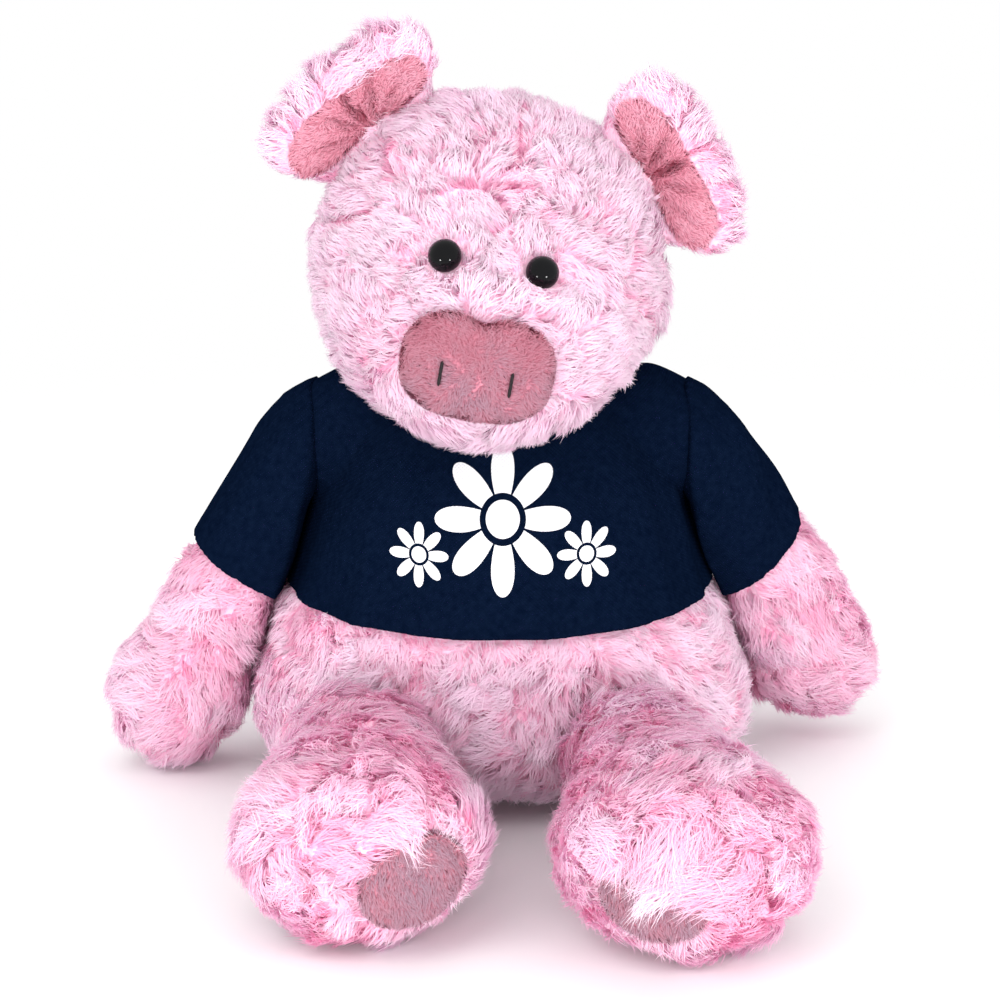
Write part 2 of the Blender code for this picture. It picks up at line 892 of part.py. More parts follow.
def make_arm(side, floor):
    """The arm's inner side is shaped by the torso and the shirt that it swings past."""
    frame = arm_frame(side)
    shirt_out = gap + knit_thickness + gap
    sleeve_out = shirt_out + knit_thickness + gap
    past = dish("past", gap, shoulder_radius, sleeve_out)
    cover = loft(f"arm_cover_{side}", arm_rows(), frame, limb_sides)
    inner = loft("inner", coarse(arm_rows(limb_cover_thickness)), frame, limb_sides // 2)
    fill_rows = coarse(arm_rows(limb_cover_thickness + gap))
    fill = loft(f"arm_fill_{side}", fill_rows, frame, limb_sides // 2)
    cut(cover, inner, past, floor)
    cut(fill, past)

    sleeve_outer = -(gap + sleeve_ease + knit_thickness)
    sleeve = loft(f"shirt_sleeve_{side}", arm_rows(sleeve_outer), frame, limb_sides)
    lumen = loft("lumen", arm_rows(-(gap + sleeve_ease)), frame, limb_sides)
    shirt_side = dish("shirt_side", shirt_out, shoulder_radius, shirt_out)
    lumen_side = dish("lumen_side", sleeve_out - gap, shoulder_radius, sleeve_out - gap)
    cut(sleeve, shirt_side)
    cut(lumen, lumen_side)
    hem = arm_length * sleeve_length_share
    reach = arm_length + overrun
    beyond = turned("beyond", [(hem, reach), (reach, reach)], frame)
    armhole_radius = (shoulder_radius + gap) / math.cos(math.pi / bore_sides)
    armhole_reach = torso_half_width(shoulder_height - shoulder_radius) + sleeve_out
    armhole = turned(
        "armhole",
        [(-armhole_reach, armhole_radius), (armhole_reach, armhole_radius)],
        shoulder_frame(),
        bore_sides,
    )
    cut(sleeve, lumen, armhole, beyond)
    discard(past, inner, lumen, shirt_side, lumen_side, beyond, armhole)
    return cover, fill, sleeve


def make_leg(side, floor):
    frame = leg_frame(side)
    cover = loft(f"leg_cover_{side}", leg_rows(side), frame, limb_sides)
    inner_rows = coarse(leg_rows(side, limb_cover_thickness))
    mouth = inner_rows[1][1]
    inner_rows = [(-hip_radius - overrun, mouth, mouth, 0)] + inner_rows[1:]
    inner = loft("inner", inner_rows, frame, limb_sides // 2)
    fill_rows = coarse(leg_rows(side, limb_cover_thickness + gap))
    fill = loft(f"leg_fill_{side}", fill_rows, frame, limb_sides // 2)
    cut(cover, inner, floor)
    discard(inner)

    inward = -sides_of_body[side] * sole_pad_turn
    facing = Vector(
        (
            math.sin(inward) * math.cos(sole_pad_tilt),
            math.sin(sole_pad_tilt),
            math.cos(inward) * math.cos(sole_pad_tilt),
        )
    )
    rise = sides_of_body[side] * math.tan(sole_pad_roll)
    foot_centre = Vector((0, 0, leg_length[side] - foot_half_width))
    turn = frame.to_3x3()
    pad_frame = frame_at(frame @ foot_centre, turn @ facing, turn @ Vector((1, -rise, 0)))

    def column(name, grown):
        reach = foot_half_width + overrun
        half_width = sole_pad_half_width + grown
        half_height = sole_pad_half_height + grown
        rows = [(0, half_width, half_height, 0), (reach, half_width, half_height, 0)]
        return loft(name, rows, pad_frame, limb_sides)

    pad = column(f"foot_pad_{side}", 0.0)
    skin = loft("skin", leg_rows(side, -sole_pad_proud), frame, limb_sides)
    below = velboa_thickness - sole_pad_proud
    under_pad = loft("under_pad", leg_rows(side, below), frame, limb_sides)
    keep_inside(pad, skin)
    cut(pad, under_pad, floor)
    recess = column("recess", gap)
    bed = loft("bed", leg_rows(side, below + gap), frame, limb_sides)
    cut(recess, bed)
    cut(cover, recess)
    discard(skin, under_pad, recess, bed)
    return cover, fill, pad


def tail_centres(root):
    """A lead straight out of the seam, then a curl."""
    points = [root, root + world_y * (tail_lead / 2)]
    for step in range(tail_steps + 1):
        angle = math.tau * tail_turns * step / tail_steps
        points.append(
            root
            + Vector(
                (
                    tail_curl_radius * math.sin(angle),
                    tail_lead + tail_pitch * angle / math.tau,
                    tail_curl_radius * (1 - math.cos(angle)),
                )
            )
        )
    return points


def make_tail(root):
    bm = bmesh.new()
    sides = tail_sides
    points = tail_centres(root)
    rings = []
    for along, radius, _, _ in ball_rows(tail_root_radius, fine_round_steps):
        rings.append((root + world_y * along, world_y, radius))
    rings.append((root, world_y, tail_root_radius))
    last = len(points) - 1
    for index in range(1, last + 1):
        before, after = points[index - 1], points[min(index + 1, last)]
        share = index / last
        thin = 1 - tail_taper_share * share
        rings.append((points[index], (after - before).normalized(), tail_radius * thin))
    tip, heading, radius = rings[-1]
    rings.append((tip + heading * (radius * tail_tip_share), heading, radius * tail_tip_share))
    across = world_x
    loops = []
    for centre, heading, radius in rings:
        across = (across - heading * across.dot(heading)).normalized()
        up = heading.cross(across)
        loop = []
        for side in range(sides):
            angle = math.tau * side / sides
            offset = across * math.cos(angle) + up * math.sin(angle)
            loop.append(bm.verts.new(centre + offset * radius))
        loops.append(loop)
    for lower, upper in zip(loops, loops[1:]):
        for side in range(sides):
            after = (side + 1) % sides
            bm.faces.new((lower[side], lower[after], upper[after], upper[side]))
    bm.faces.new(reversed(loops[0]))
    bm.faces.new(loops[-1])
    return object_from("tail", bm)


def paint(solids, colour, roughness):
    for solid in solids:
        solid.data.materials.clear()
        solid.data.materials.append(finish(solid.name, colour, roughness))


def hang(name, centre, solids, parent=None):
    """Moves the solids' origins to their joint and parents them to an empty there."""
    pivot = bpy.data.objects.new(name, None)
    pivot.location = centre
    bpy.context.scene.collection.objects.link(pivot)
    if parent:
        pivot.parent = parent
        pivot.matrix_parent_inverse = parent.matrix_basis.inverted()
    for solid in solids:
        solid.data.transform(Matrix.Translation(-centre))
        solid.parent = pivot
    print(f"{name}: {centre.x:.5f} {centre.y:.5f} {centre.z:.5f}")
    return pivot


def build():
    clear_scene()
    reach = arm_length + hip_half_width + leg_length["left"] + belly_half_depth
    floor = block("floor", (-reach, -reach, -reach), (reach, reach, 0))

    torso_cover, torso_fill, pellet_bag = make_torso()
    torso_tree = surface_tree(torso_cover)
    neck, seat = make_neck((torso_cover, torso_fill))
    tail_root = tail_point(torso_tree)
    tail_socket = ball_cutter("tail_socket", tail_root, tail_root_radius + gap)
    cut(torso_cover, tail_socket)
    tail = make_tail(tail_root)
    shirt, outside = make_shirt()
    cut(shirt, seat)
    neckband, band_top = make_neckband(outside)
    relief = head_relief(band_top)
    head_cover, head_fill, eyes, washers, head_tree = make_head(relief, seat)
    snout, stitches = make_snout()

    ears = {side: make_ear(side, ear_frame(head_tree, side)) for side in sides_of_body}
    arms = {side: make_arm(side, floor) for side in sides_of_body}
    legs = {side: make_leg(side, floor) for side in sides_of_body}
    discard(floor, seat, tail_socket, *relief)

    ear_backs = [pair[0] for pair in ears.values()]
    limb_covers = [group[0] for group in (*arms.values(), *legs.values())]
    paint([torso_cover, head_cover, tail, *ear_backs, *limb_covers], fur_pink, 0.9)
    linings = [pair[1] for pair in ears.values()] + [group[2] for group in legs.values()]
    paint([snout, *linings], velboa_rose, 0.85)
    limb_fills = [group[1] for group in (*arms.values(), *legs.values())]
    paint([torso_fill, head_fill, neck, pellet_bag, *limb_fills], fibre_white, 0.95)
    paint([shirt, neckband, *(group[2] for group in arms.values())], navy_knit, 0.9)
    paint([*eyes, *washers], gloss_black, 0.12)
    paint(stitches, gloss_black, 0.7)

    neck_pivot = hang("neck_pivot", neck_point, [neck])
    head_pieces = [head_cover, head_fill, snout, *stitches, *eyes, *washers]
    head_pivot = hang("head_pivot", neck_point, head_pieces, neck_pivot)
    for side in sides_of_body:
        frame = ear_frame(head_tree, side)
        axis = frame.to_3x3() @ world_x
        print(f"ear_{side} axis: {axis.x:.5f} {axis.y:.5f} {axis.z:.5f}")
        hang(f"ear_{side}_pivot", frame.to_translation(), ears[side], head_pivot)
        hang(f"arm_{side}_pivot", shoulder_point(side), arms[side])
        hang(f"leg_{side}_pivot", hip_point(side), legs[side])
    hang("tail_pivot", tail_root, [tail])


build()
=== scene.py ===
import json
import math

import bmesh
import bpy
import numpy as np
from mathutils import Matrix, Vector
from mathutils.bvhtree import BVHTree
from mathutils.kdtree import KDTree


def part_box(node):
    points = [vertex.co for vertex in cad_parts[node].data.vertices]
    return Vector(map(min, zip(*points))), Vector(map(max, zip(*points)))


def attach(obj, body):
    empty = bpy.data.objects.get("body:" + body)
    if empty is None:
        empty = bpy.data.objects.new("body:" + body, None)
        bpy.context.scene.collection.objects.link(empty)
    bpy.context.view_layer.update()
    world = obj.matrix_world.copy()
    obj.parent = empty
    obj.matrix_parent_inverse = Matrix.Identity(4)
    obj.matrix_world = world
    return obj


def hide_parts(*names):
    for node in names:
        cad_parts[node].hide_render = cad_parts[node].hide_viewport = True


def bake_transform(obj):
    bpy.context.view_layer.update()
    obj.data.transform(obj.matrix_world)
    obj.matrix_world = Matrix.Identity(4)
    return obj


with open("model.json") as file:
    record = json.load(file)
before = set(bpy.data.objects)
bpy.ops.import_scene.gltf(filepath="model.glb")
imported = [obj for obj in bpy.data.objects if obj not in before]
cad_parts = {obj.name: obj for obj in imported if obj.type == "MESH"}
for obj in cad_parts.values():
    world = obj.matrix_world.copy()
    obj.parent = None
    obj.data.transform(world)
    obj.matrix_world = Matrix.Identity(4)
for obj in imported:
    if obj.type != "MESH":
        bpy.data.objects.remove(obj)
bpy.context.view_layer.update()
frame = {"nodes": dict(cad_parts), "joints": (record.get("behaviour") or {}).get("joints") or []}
nodes = frame["nodes"]
print("loaded", len(nodes), "nodes")


def newMaterial(name, roughness=0.9, specular=0.3):
    material = bpy.data.materials.new(name)
    material.use_nodes = True
    tree = material.node_tree
    shader = tree.nodes["Principled BSDF"]
    shader.inputs["Roughness"].default_value = roughness
    shader.inputs["Specular IOR Level"].default_value = specular
    return material, tree, shader


def ramp(tree, stops, fac, interpolation="LINEAR"):
    node = tree.nodes.new("ShaderNodeValToRGB")
    node.color_ramp.interpolation = interpolation
    while len(node.color_ramp.elements) < len(stops):
        node.color_ramp.elements.new(0.5)
    for element, (place, colour) in zip(node.color_ramp.elements, stops):
        element.position = place
        element.color = (*colour, 1)
    tree.links.new(fac, node.inputs["Fac"])
    return node.outputs["Color"]


def mixed(tree, blend, factor, first, second):
    node = tree.nodes.new("ShaderNodeMix")
    node.data_type = "RGBA"
    node.blend_type = blend
    for value, socket in ((factor, node.inputs[0]), (first, node.inputs[6]), (second, node.inputs[7])):
        if isinstance(value, bpy.types.NodeSocket):
            tree.links.new(value, socket)
        elif isinstance(value, (int, float)):
            socket.default_value = value
        else:
            socket.default_value = (*value, 1)
    return node.outputs[2]


def maths(tree, operation, *values):
    node = tree.nodes.new("ShaderNodeMath")
    node.operation = operation
    for value, socket in zip(values, node.inputs):
        if isinstance(value, bpy.types.NodeSocket):
            tree.links.new(value, socket)
        else:
            socket.default_value = value
    return node.outputs[0]


def noiseOf(tree, scale, detail=3.0, rough=0.55):
    place = tree.nodes.new("ShaderNodeTexCoord").outputs["Object"]
    node = tree.nodes.new("ShaderNodeTexNoise")
    node.inputs["Scale"].default_value = scale
    node.inputs["Detail"].default_value = detail
    node.inputs["Roughness"].default_value = rough
    tree.links.new(place, node.inputs["Vector"])
    return node.outputs["Fac"]


def bumped(tree, shader, height, strength, distance):
    node = tree.nodes.new("ShaderNodeBump")
    node.inputs["Strength"].default_value = strength
    node.inputs["Distance"].default_value = distance
    tree.links.new(height, node.inputs["Height"])
    tree.links.new(node.outputs["Normal"], shader.inputs["Normal"])


def pileMaterial(name, alongStops, darkTone, paleTone, through, throughTint=(1, 0.9, 0.94)):
    # strands carry tone in u and the way along the strand in v, and some light comes through them
    material, tree, shader = newMaterial(name, specular=0.12)
    layer = tree.nodes.new("ShaderNodeUVMap")
    layer.uv_map = "OFBake"
    split = tree.nodes.new("ShaderNodeSeparateXYZ")
    tree.links.new(layer.outputs["UV"], split.inputs[0])
    along = ramp(tree, alongStops, split.outputs["Y"])
    tone = ramp(tree, [(0.0, darkTone), (0.5, (1, 1, 1)), (1.0, paleTone)], split.outputs["X"])
    colour = mixed(tree, "MULTIPLY", 1.0, along, tone)
    tree.links.new(colour, shader.inputs["Base Color"])
    thin = tree.nodes.new("ShaderNodeBsdfTranslucent")
    tree.links.new(mixed(tree, "MULTIPLY", 1.0, colour, throughTint), thin.inputs["Color"])
    mix = tree.nodes.new("ShaderNodeMixShader")
    mix.inputs["Fac"].default_value = through
    tree.links.new(shader.outputs[0], mix.inputs[1])
    tree.links.new(thin.outputs[0], mix.inputs[2])
    tree.links.new(mix.outputs[0], tree.nodes["Material Output"].inputs["Surface"])
    return material


def mottled(name, dark, pale, scale, strength, distance):
    material, tree, shader = newMaterial(name, 0.92)
    noise = noiseOf(tree, scale)
    colour = ramp(tree, [(0.3, dark), (0.7, pale)], noise)
    tree.links.new(colour, shader.inputs["Base Color"])
    bumped(tree, shader, noise, strength, distance)
    return material


# painted shade: the long pile is deeper pink towards its roots, for the pink shade deep in the pile; its dark
# tone carries the painted shade of the creases and the tone that varies at random
furMaterial = pileMaterial(
    "longPile",
    [(0.0, (0.99, 0.62, 0.79)), (0.3, (0.99, 0.82, 0.93)), (1.0, (0.99, 0.93, 0.985))],
    (1.0, 0.64, 0.78),
    (1.0, 1.0, 1.0),
    0.5,
    (1.0, 0.84, 0.93),
)
# the cloth under the pile, coloured the pink of the shade deep in the pile as painted shade
backingMaterial = mottled("pileBacking", (0.98, 0.56, 0.71), (0.98, 0.68, 0.81), 400, 0.5, 0.001)
velboaStops = [(0.0, (0.46, 0.14, 0.20)), (0.45, (0.53, 0.20, 0.265)), (1.0, (0.60, 0.31, 0.385))]
liningStops = [(0.0, (0.66, 0.23, 0.31)), (0.45, (0.80, 0.34, 0.44)), (1.0, (0.86, 0.50, 0.60))]
# the pale, greyer end of the velboa's tone is the painted sheen of the lower snout, and also the pads' paler
# tone
velboaMaterial = pileMaterial("velboaPile", velboaStops, (0.84, 0.62, 0.68), (0.76, 1.10, 1.08), 0.25)
liningMaterial = pileMaterial("earLiningPile", liningStops, (0.84, 0.62, 0.68), (1.0, 1.2, 1.2), 0.25)
velboaBase = mottled("velboaCloth", (0.54, 0.18, 0.25), (0.62, 0.26, 0.33), 900, 0.6, 0.0006)
fibreMaterial = mottled("fibreFill", (0.72, 0.71, 0.68), (0.86, 0.85, 0.83), 300, 0.8, 0.002)
washerMaterial = mottled("washerPlastic", (0.80, 0.80, 0.78), (0.86, 0.86, 0.84), 200, 0.05, 0.0002)
threadMaterial = mottled("blackThread", (0.006, 0.005, 0.006), (0.03, 0.025, 0.027), 2500, 0.6, 0.0003)


eyeMaterial, eyeTree, eyeShader = newMaterial("eyePlastic", 0.045, 0.18)
eyeStops = [(0.3, (0.0015, 0.0015, 0.002)), (0.7, (0.003, 0.003, 0.004))]
eyeTree.links.new(ramp(eyeTree, eyeStops, noiseOf(eyeTree, 60)), eyeShader.inputs["Base Color"])

# white daisies on the front of the shirt: places across and up, and the reach of the petals
daisies = (
    {"x": 0.0008, "z": 0.0900, "reach": 0.0195},
    {"x": 0.0008 - 0.0240, "z": 0.0900 - 0.0098, "reach": 0.0085},
    {"x": 0.0008 + 0.0240, "z": 0.0900 - 0.0098, "reach": 0.0085},
)
daisy = {"petals": 8, "blunt": 0.6, "eyeShare": 0.25, "petalShare": 0.34, "tone": (0.78, 0.79, 0.82)}
knit = {"rib": 0.0011, "course": 0.0009, "front": -0.01}


def daisyMask(tree, x, z, flower):
    # 1 on the petals and the middle of one daisy, 0 elsewhere
    dx = maths(tree, "SUBTRACT", x, flower["x"])
    dz = maths(tree, "SUBTRACT", z, flower["z"])
    squares = maths(tree, "ADD", maths(tree, "MULTIPLY", dx, dx), maths(tree, "MULTIPLY", dz, dz))
    radius = maths(tree, "SQRT", squares)
    turn = maths(tree, "MULTIPLY", maths(tree, "ARCTAN2", dz, dx), daisy["petals"] / 2)
    cosine = maths(tree, "ABSOLUTE", maths(tree, "COSINE", turn))
    reach = maths(tree, "MULTIPLY", maths(tree, "POWER", cosine, daisy["blunt"]), flower["reach"])
    within = maths(tree, "LESS_THAN", radius, reach)
    beyond = maths(tree, "GREATER_THAN", radius, flower["reach"] * daisy["petalShare"])
    middle = maths(tree, "LESS_THAN", radius, flower["reach"] * daisy["eyeShare"])
    return maths(tree, "MAXIMUM", maths(tree, "MULTIPLY", within, beyond), middle)


def knitMaterialOf(name, flowers=()):
    material, tree, shader = newMaterial(name, 1.0, 0.0)
    navyStops = [(0.3, (0.0014, 0.0042, 0.0145)), (0.7, (0.0028, 0.0072, 0.0215))]
    colour = ramp(tree, navyStops, noiseOf(tree, 500))
    split = tree.nodes.new("ShaderNodeSeparateXYZ")
    tree.links.new(tree.nodes.new("ShaderNodeTexCoord").outputs["Object"], split.inputs[0])
    x, y, z = split.outputs
    # fine ribs of the jersey
    rib = maths(tree, "SINE", maths(tree, "MULTIPLY", x, 2 * math.pi / knit["rib"]))
    course = maths(tree, "SINE", maths(tree, "MULTIPLY", z, 2 * math.pi / knit["course"]))
    height = maths(tree, "MULTIPLY", rib, course)
    if flowers:
        mask = 0.0
        for flower in flowers:
            mask = maths(tree, "MAXIMUM", mask, daisyMask(tree, x, z, flower))
        mask = maths(tree, "MULTIPLY", mask, maths(tree, "LESS_THAN", y, knit["front"]))
        colour = mixed(tree, "MIX", mask, colour, daisy["tone"])
        height = maths(tree, "ADD", height, maths(tree, "MULTIPLY", mask, 2.0))
    tree.links.new(colour, shader.inputs["Base Color"])
    bumped(tree, shader, height, 0.35, 0.0003)
    return material


knitMaterial = knitMaterialOf("navyKnit")
knitFrontMaterial = knitMaterialOf("navyKnitPrinted", daisies)
print("materials made")


def only(*objects):
    bpy.ops.object.select_all(action="DESELECT")
    for thing in objects:
        thing.select_set(True)
    bpy.context.view_layer.objects.active = objects[0]


def coordinates(thing):
    flat = np.empty(len(thing.data.vertices) * 3)
    thing.data.vertices.foreach_get("co", flat)
    return flat.reshape(-1, 3)


def placeCoordinates(thing, points):
    thing.data.vertices.foreach_set("co", np.ascontiguousarray(points, float).ravel())
    thing.data.update()


def copyOf(name, *sources):
    copies = []
    for source in sources:
        thing = nodes[source].copy()
        thing.data = nodes[source].data.copy()
        thing.parent = None
        for key in list(thing.keys()):
            del thing[key]
        thing.data.materials.clear()
        bpy.context.scene.collection.objects.link(thing)
        thing.hide_render = thing.hide_viewport = False
        copies.append(thing)
    only(*copies)
    if len(copies) > 1:
        bpy.ops.object.join()
    thing = bpy.context.view_layer.objects.active
    thing.name = thing.data.name = name
    made = bmesh.new()
    made.from_mesh(thing.data)
    bmesh.ops.remove_doubles(made, verts=made.verts, dist=0.00001)
    bmesh.ops.recalc_face_normals(made, faces=made.faces)
    made.to_mesh(thing.data)
    made.free()
    while thing.data.uv_layers:
        thing.data.uv_layers.remove(thing.data.uv_layers[0])
    return thing


def withModifier(thing, kind, **values):
    only(thing)
    modifier = thing.modifiers.new(kind.lower(), kind)
    for key, value in values.items():
        setattr(modifier, key, value)
    bpy.ops.object.modifier_apply(modifier=modifier.name)


def smooth(thing):
    thing.data.polygons.foreach_set("use_smooth", [True] * len(thing.data.polygons))
    thing.data.update()


def outwards(thing):
    made = bmesh.new()
    made.from_mesh(thing.data)
    bmesh.ops.recalc_face_normals(made, faces=made.faces)
    if made.calc_volume(signed=True) < 0:
        bmesh.ops.reverse_faces(made, faces=made.faces)
    made.to_mesh(thing.data)
    made.free()


def treeOf(*things):
    points, faces, start = [], [], 0
    for thing in things:
        points += [v.co.copy() for v in thing.data.vertices]
        faces += [[start + i for i in p.vertices] for p in thing.data.polygons]
        start = len(points)
    return BVHTree.FromPolygons(points, faces)


def unit(vectors):
    return vectors / np.maximum(np.linalg.norm(vectors, axis=-1, keepdims=True), 1e-12)


def eased(value, start, end):
    share = np.clip((value - start) / (end - start), 0, 1)
    return share * share * (3 - 2 * share)


waveSeeds = np.random.default_rng(11)
waveAxes = unit(waveSeeds.normal(size=(24, 3)))
wavePhases = waveSeeds.uniform(0, 2 * math.pi, 24)
waveLengths = waveSeeds.uniform(0.7, 1.6, 24)


def drift(points, size, first=0, count=6):
    # smooth noise about 0, mostly within -1 to 1
    total = np.zeros(len(points))
    for i in range(first, first + count):
        k = i % 24
        total += np.sin(points @ waveAxes[k] * (2 * math.pi / (size * waveLengths[k])) + wavePhases[k] + i)
    return total / math.sqrt(count / 1.3)


def swirls(points, size):
    # the same noise, as a vector at each point
    return np.stack([drift(points, size, 5 * k, 5) for k in range(3)], axis=1)


skinVoxel = 0.0032
skinSpecs = {
    "torso": {"nodes": ["torso_cover", "torso_fill", "pellet_bag"], "inset": 0.0045, "fill": 0.85},
    "head": {"nodes": ["head_cover", "head_fill"], "inset": 0.0062, "fill": 0.9},
    "arm_right": {"nodes": ["arm_cover_right", "arm_fill_right"], "inset": 0.0048, "fill": 0.75},
    "arm_left": {"nodes": ["arm_cover_left", "arm_fill_left"], "inset": 0.0048, "fill": 0.75},
    "leg_right": {"nodes": ["leg_cover_right", "leg_fill_right"], "inset": 0.0058, "fill": 0.85},
    "leg_left": {"nodes": ["leg_cover_left", "leg_fill_left"], "inset": 0.0058, "fill": 0.85},
}


def skinOf(body, spec):
    thing = copyOf(f"{body}_skin", *spec["nodes"])
    withModifier(thing, "REMESH", mode="VOXEL", voxel_size=skinVoxel)
    withModifier(thing, "SMOOTH", factor=0.5, iterations=6)
    withModifier(thing, "DISPLACE", direction="NORMAL", strength=-spec["inset"], mid_level=0.0)
    withModifier(thing, "SMOOTH", factor=0.5, iterations=4)
    outwards(thing)
    smooth(thing)
    thing.data.materials.append(backingMaterial)
    return thing


def jointPlace(body):
    return np.array(next(j for j in frame["joints"] if j["child"] == body)["pos_m"])


def limbLine(kind, side):
    # where the limb turns and which way it points
    root = jointPlace(f"{kind}_{side}")
    points = coordinates(nodes[f"{kind}_cover_{side}"])
    far = points[np.argmax(np.linalg.norm(points - root, axis=1))]
    return root, unit((far - root)[None])[0]


def sleeveReach(side):
    # how far along the arm the sleeve reaches
    root, axis = limbLine("arm", side)
    return np.percentile((coordinates(nodes[f"shirt_sleeve_{side}"]) - root) @ axis, 97)


# the band of the sleeve that twists between torso and arm, as distances out from the joint
sleeveTwist = {"start": 0.005, "end": 0.013}
armPinch = {"before": 0.005, "width": 0.018, "share": 0.38, "coverStart": 0.020, "coverEnd": 0.009}


def pinchArm(thing, side):
    # the sleeve narrows where it twists, so the arm is thin there
    root, axis = limbLine("arm", side)
    reach = sleeveReach(side)
    points = coordinates(thing)
    out = np.abs(points[:, 0]) - abs(root[0])
    covered = 1 - eased((points - root) @ axis, reach - armPinch["coverStart"], reach - armPinch["coverEnd"])
    along = (out - sleeveTwist["start"] + armPinch["before"]) / armPinch["width"]
    band = np.sin(np.clip(along, 0, 1) * math.pi)
    offset = points - root
    offset[:, 1:] *= (1 - armPinch["share"] * covered * band)[:, None]
    placeCoordinates(thing, root + offset)


armFibreDepth = 0.0035
skins = {}
for body, spec in skinSpecs.items():
    skins[body] = skinOf(body, spec)
for side in ("right", "left"):
    skin = skins[f"arm_{side}"]
    pinchArm(skin, side)
    fill = skin.copy()
    fill.data = skin.data.copy()
    fill.name = f"arm_{side}_fibre"
    bpy.context.scene.collection.objects.link(fill)
    withModifier(fill, "DISPLACE", direction="NORMAL", strength=-armFibreDepth, mid_level=0.0)
    fill.data.materials.clear()
    fill.data.materials.append(fibreMaterial)
    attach(fill, f"arm_{side}")
    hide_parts(f"arm_fill_{side}")
print("skins made", {body: len(thing.data.polygons) for body, thing in skins.items()})


def triangleSet(thing):
    mesh = thing.data
    mesh.calc_loop_triangles()
    corners = np.empty(len(mesh.loop_triangles) * 3, int)
    mesh.loop_triangles.foreach_get("vertices", corners)
    corners = corners.reshape(-1, 3)
    points = coordinates(thing)
    normals = np.empty(len(mesh.vertices) * 3)
    mesh.vertices.foreach_get("normal", normals)
    return points, normals.reshape(-1, 3), corners


def scatter(thing, density, rng, keep):
    points, normals, corners = triangleSet(thing)
    a, b, c = (points[corners[:, k]] for k in range(3))
    areas = np.linalg.norm(np.cross(b - a, c - a), axis=1) / 2
    count = int(areas.sum() * density)
    picked = rng.choice(len(areas), count, p=areas / areas.sum())
    u, v = rng.random(count), rng.random(count)
    over = u + v > 1
    u[over], v[over] = 1 - u[over], 1 - v[over]
    shares = np.stack([1 - u - v, u, v], axis=1)[:, :, None]
    picked = corners[picked]
    places = (points[picked] * shares).sum(1)
    upward = unit((normals[picked] * shares).sum(1))
    chosen = rng.random(count) < keep(places, upward)
    return places[chosen], upward[chosen]


def tangentOf(direction, upward):
    return unit(direction - upward * np.sum(direction * upward, axis=1, keepdims=True))


def ribbons(name, spine, across, widths, tones, shading, material, limit=190000):
    # spine is strands x points x 3; the last point is the tip
    count, steps, _ = spine.shape
    perStrand = (steps - 1) * 2 - 1
    most = limit // perStrand
    made = []
    for part, start in enumerate(range(0, count, most)):
        these = slice(start, start + most)
        s, w, h, tone, lit = spine[these], across[these], widths[these], tones[these], shading[these]
        n = len(s)
        points = np.empty((n, steps * 2 - 1, 3))
        for k in range(steps - 1):
            points[:, 2 * k] = s[:, k] - w[:, k] * h[:, k, None]
            points[:, 2 * k + 1] = s[:, k] + w[:, k] * h[:, k, None]
        points[:, -1] = s[:, -1]
        pattern, along = [], []
        for k in range(steps - 2):
            i = 2 * k
            pattern += [[i, i + 3, i + 1], [i, i + 2, i + 3]]
        i = 2 * (steps - 2)
        pattern += [[i, i + 2, i + 1]]
        pattern = np.array(pattern)
        level = np.append(np.repeat(np.arange(steps - 1), 2) / (steps - 1), 1.0)
        side = np.append(np.tile([-1.0, 1.0], steps - 1), 0.0)
        faces = (np.arange(n)[:, None, None] * points.shape[1] + pattern[None]).reshape(-1, 3)
        mesh = bpy.data.meshes.new(f"{name}_{part}")
        mesh.vertices.add(n * points.shape[1])
        mesh.vertices.foreach_set("co", points.ravel())
        mesh.loops.add(len(faces) * 3)
        mesh.loops.foreach_set("vertex_index", faces.ravel().astype(np.int32))
        mesh.polygons.add(len(faces))
        mesh.polygons.foreach_set("loop_start", np.arange(0, len(faces) * 3, 3, dtype=np.int32))
        mesh.polygons.foreach_set("use_smooth", np.ones(len(faces), bool))
        uvs = np.empty((n, len(pattern) * 3, 2))
        flatPattern = pattern.ravel()
        uvs[:, :, 0] = np.clip(tone, 0.012, 0.988)[:, None] + side[flatPattern][None] * 0.004
        uvs[:, :, 1] = 0.004 + 0.992 * level[flatPattern][None]
        layer = mesh.uv_layers.new(name="OFBake")
        layer.data.foreach_set("uv", uvs.ravel())
        mesh.update()
        # each strand is lit as the body under it is, as a dense pile is
        mesh.normals_split_custom_set_from_vertices(np.repeat(lit, points.shape[1], axis=0))
        mesh.materials.append(material)
        thing = bpy.data.objects.new(f"{name}_{part}", mesh)
        bpy.context.scene.collection.objects.link(thing)
        made.append(thing)
    return made


def cellsAt(points, centres, warp):
    # each point's own cell, and how far inside that cell's border it lies
    tree = KDTree(len(centres))
    for i, c in enumerate(centres):
        tree.insert(c, i)
    tree.balance()
    bent = points + warp * swirls(points, 0.012)
    found = np.array([[hit[1] for hit in tree.find_n(p, 2)] for p in bent])
    own, other = centres[found[:, 0]], centres[found[:, 1]]
    between = other - own
    border = np.sum((0.5 * (own + other) - bent) * between, axis=1)
    return found[:, 0], np.maximum(border / np.maximum(np.linalg.norm(between, axis=1), 1e-9), 0)


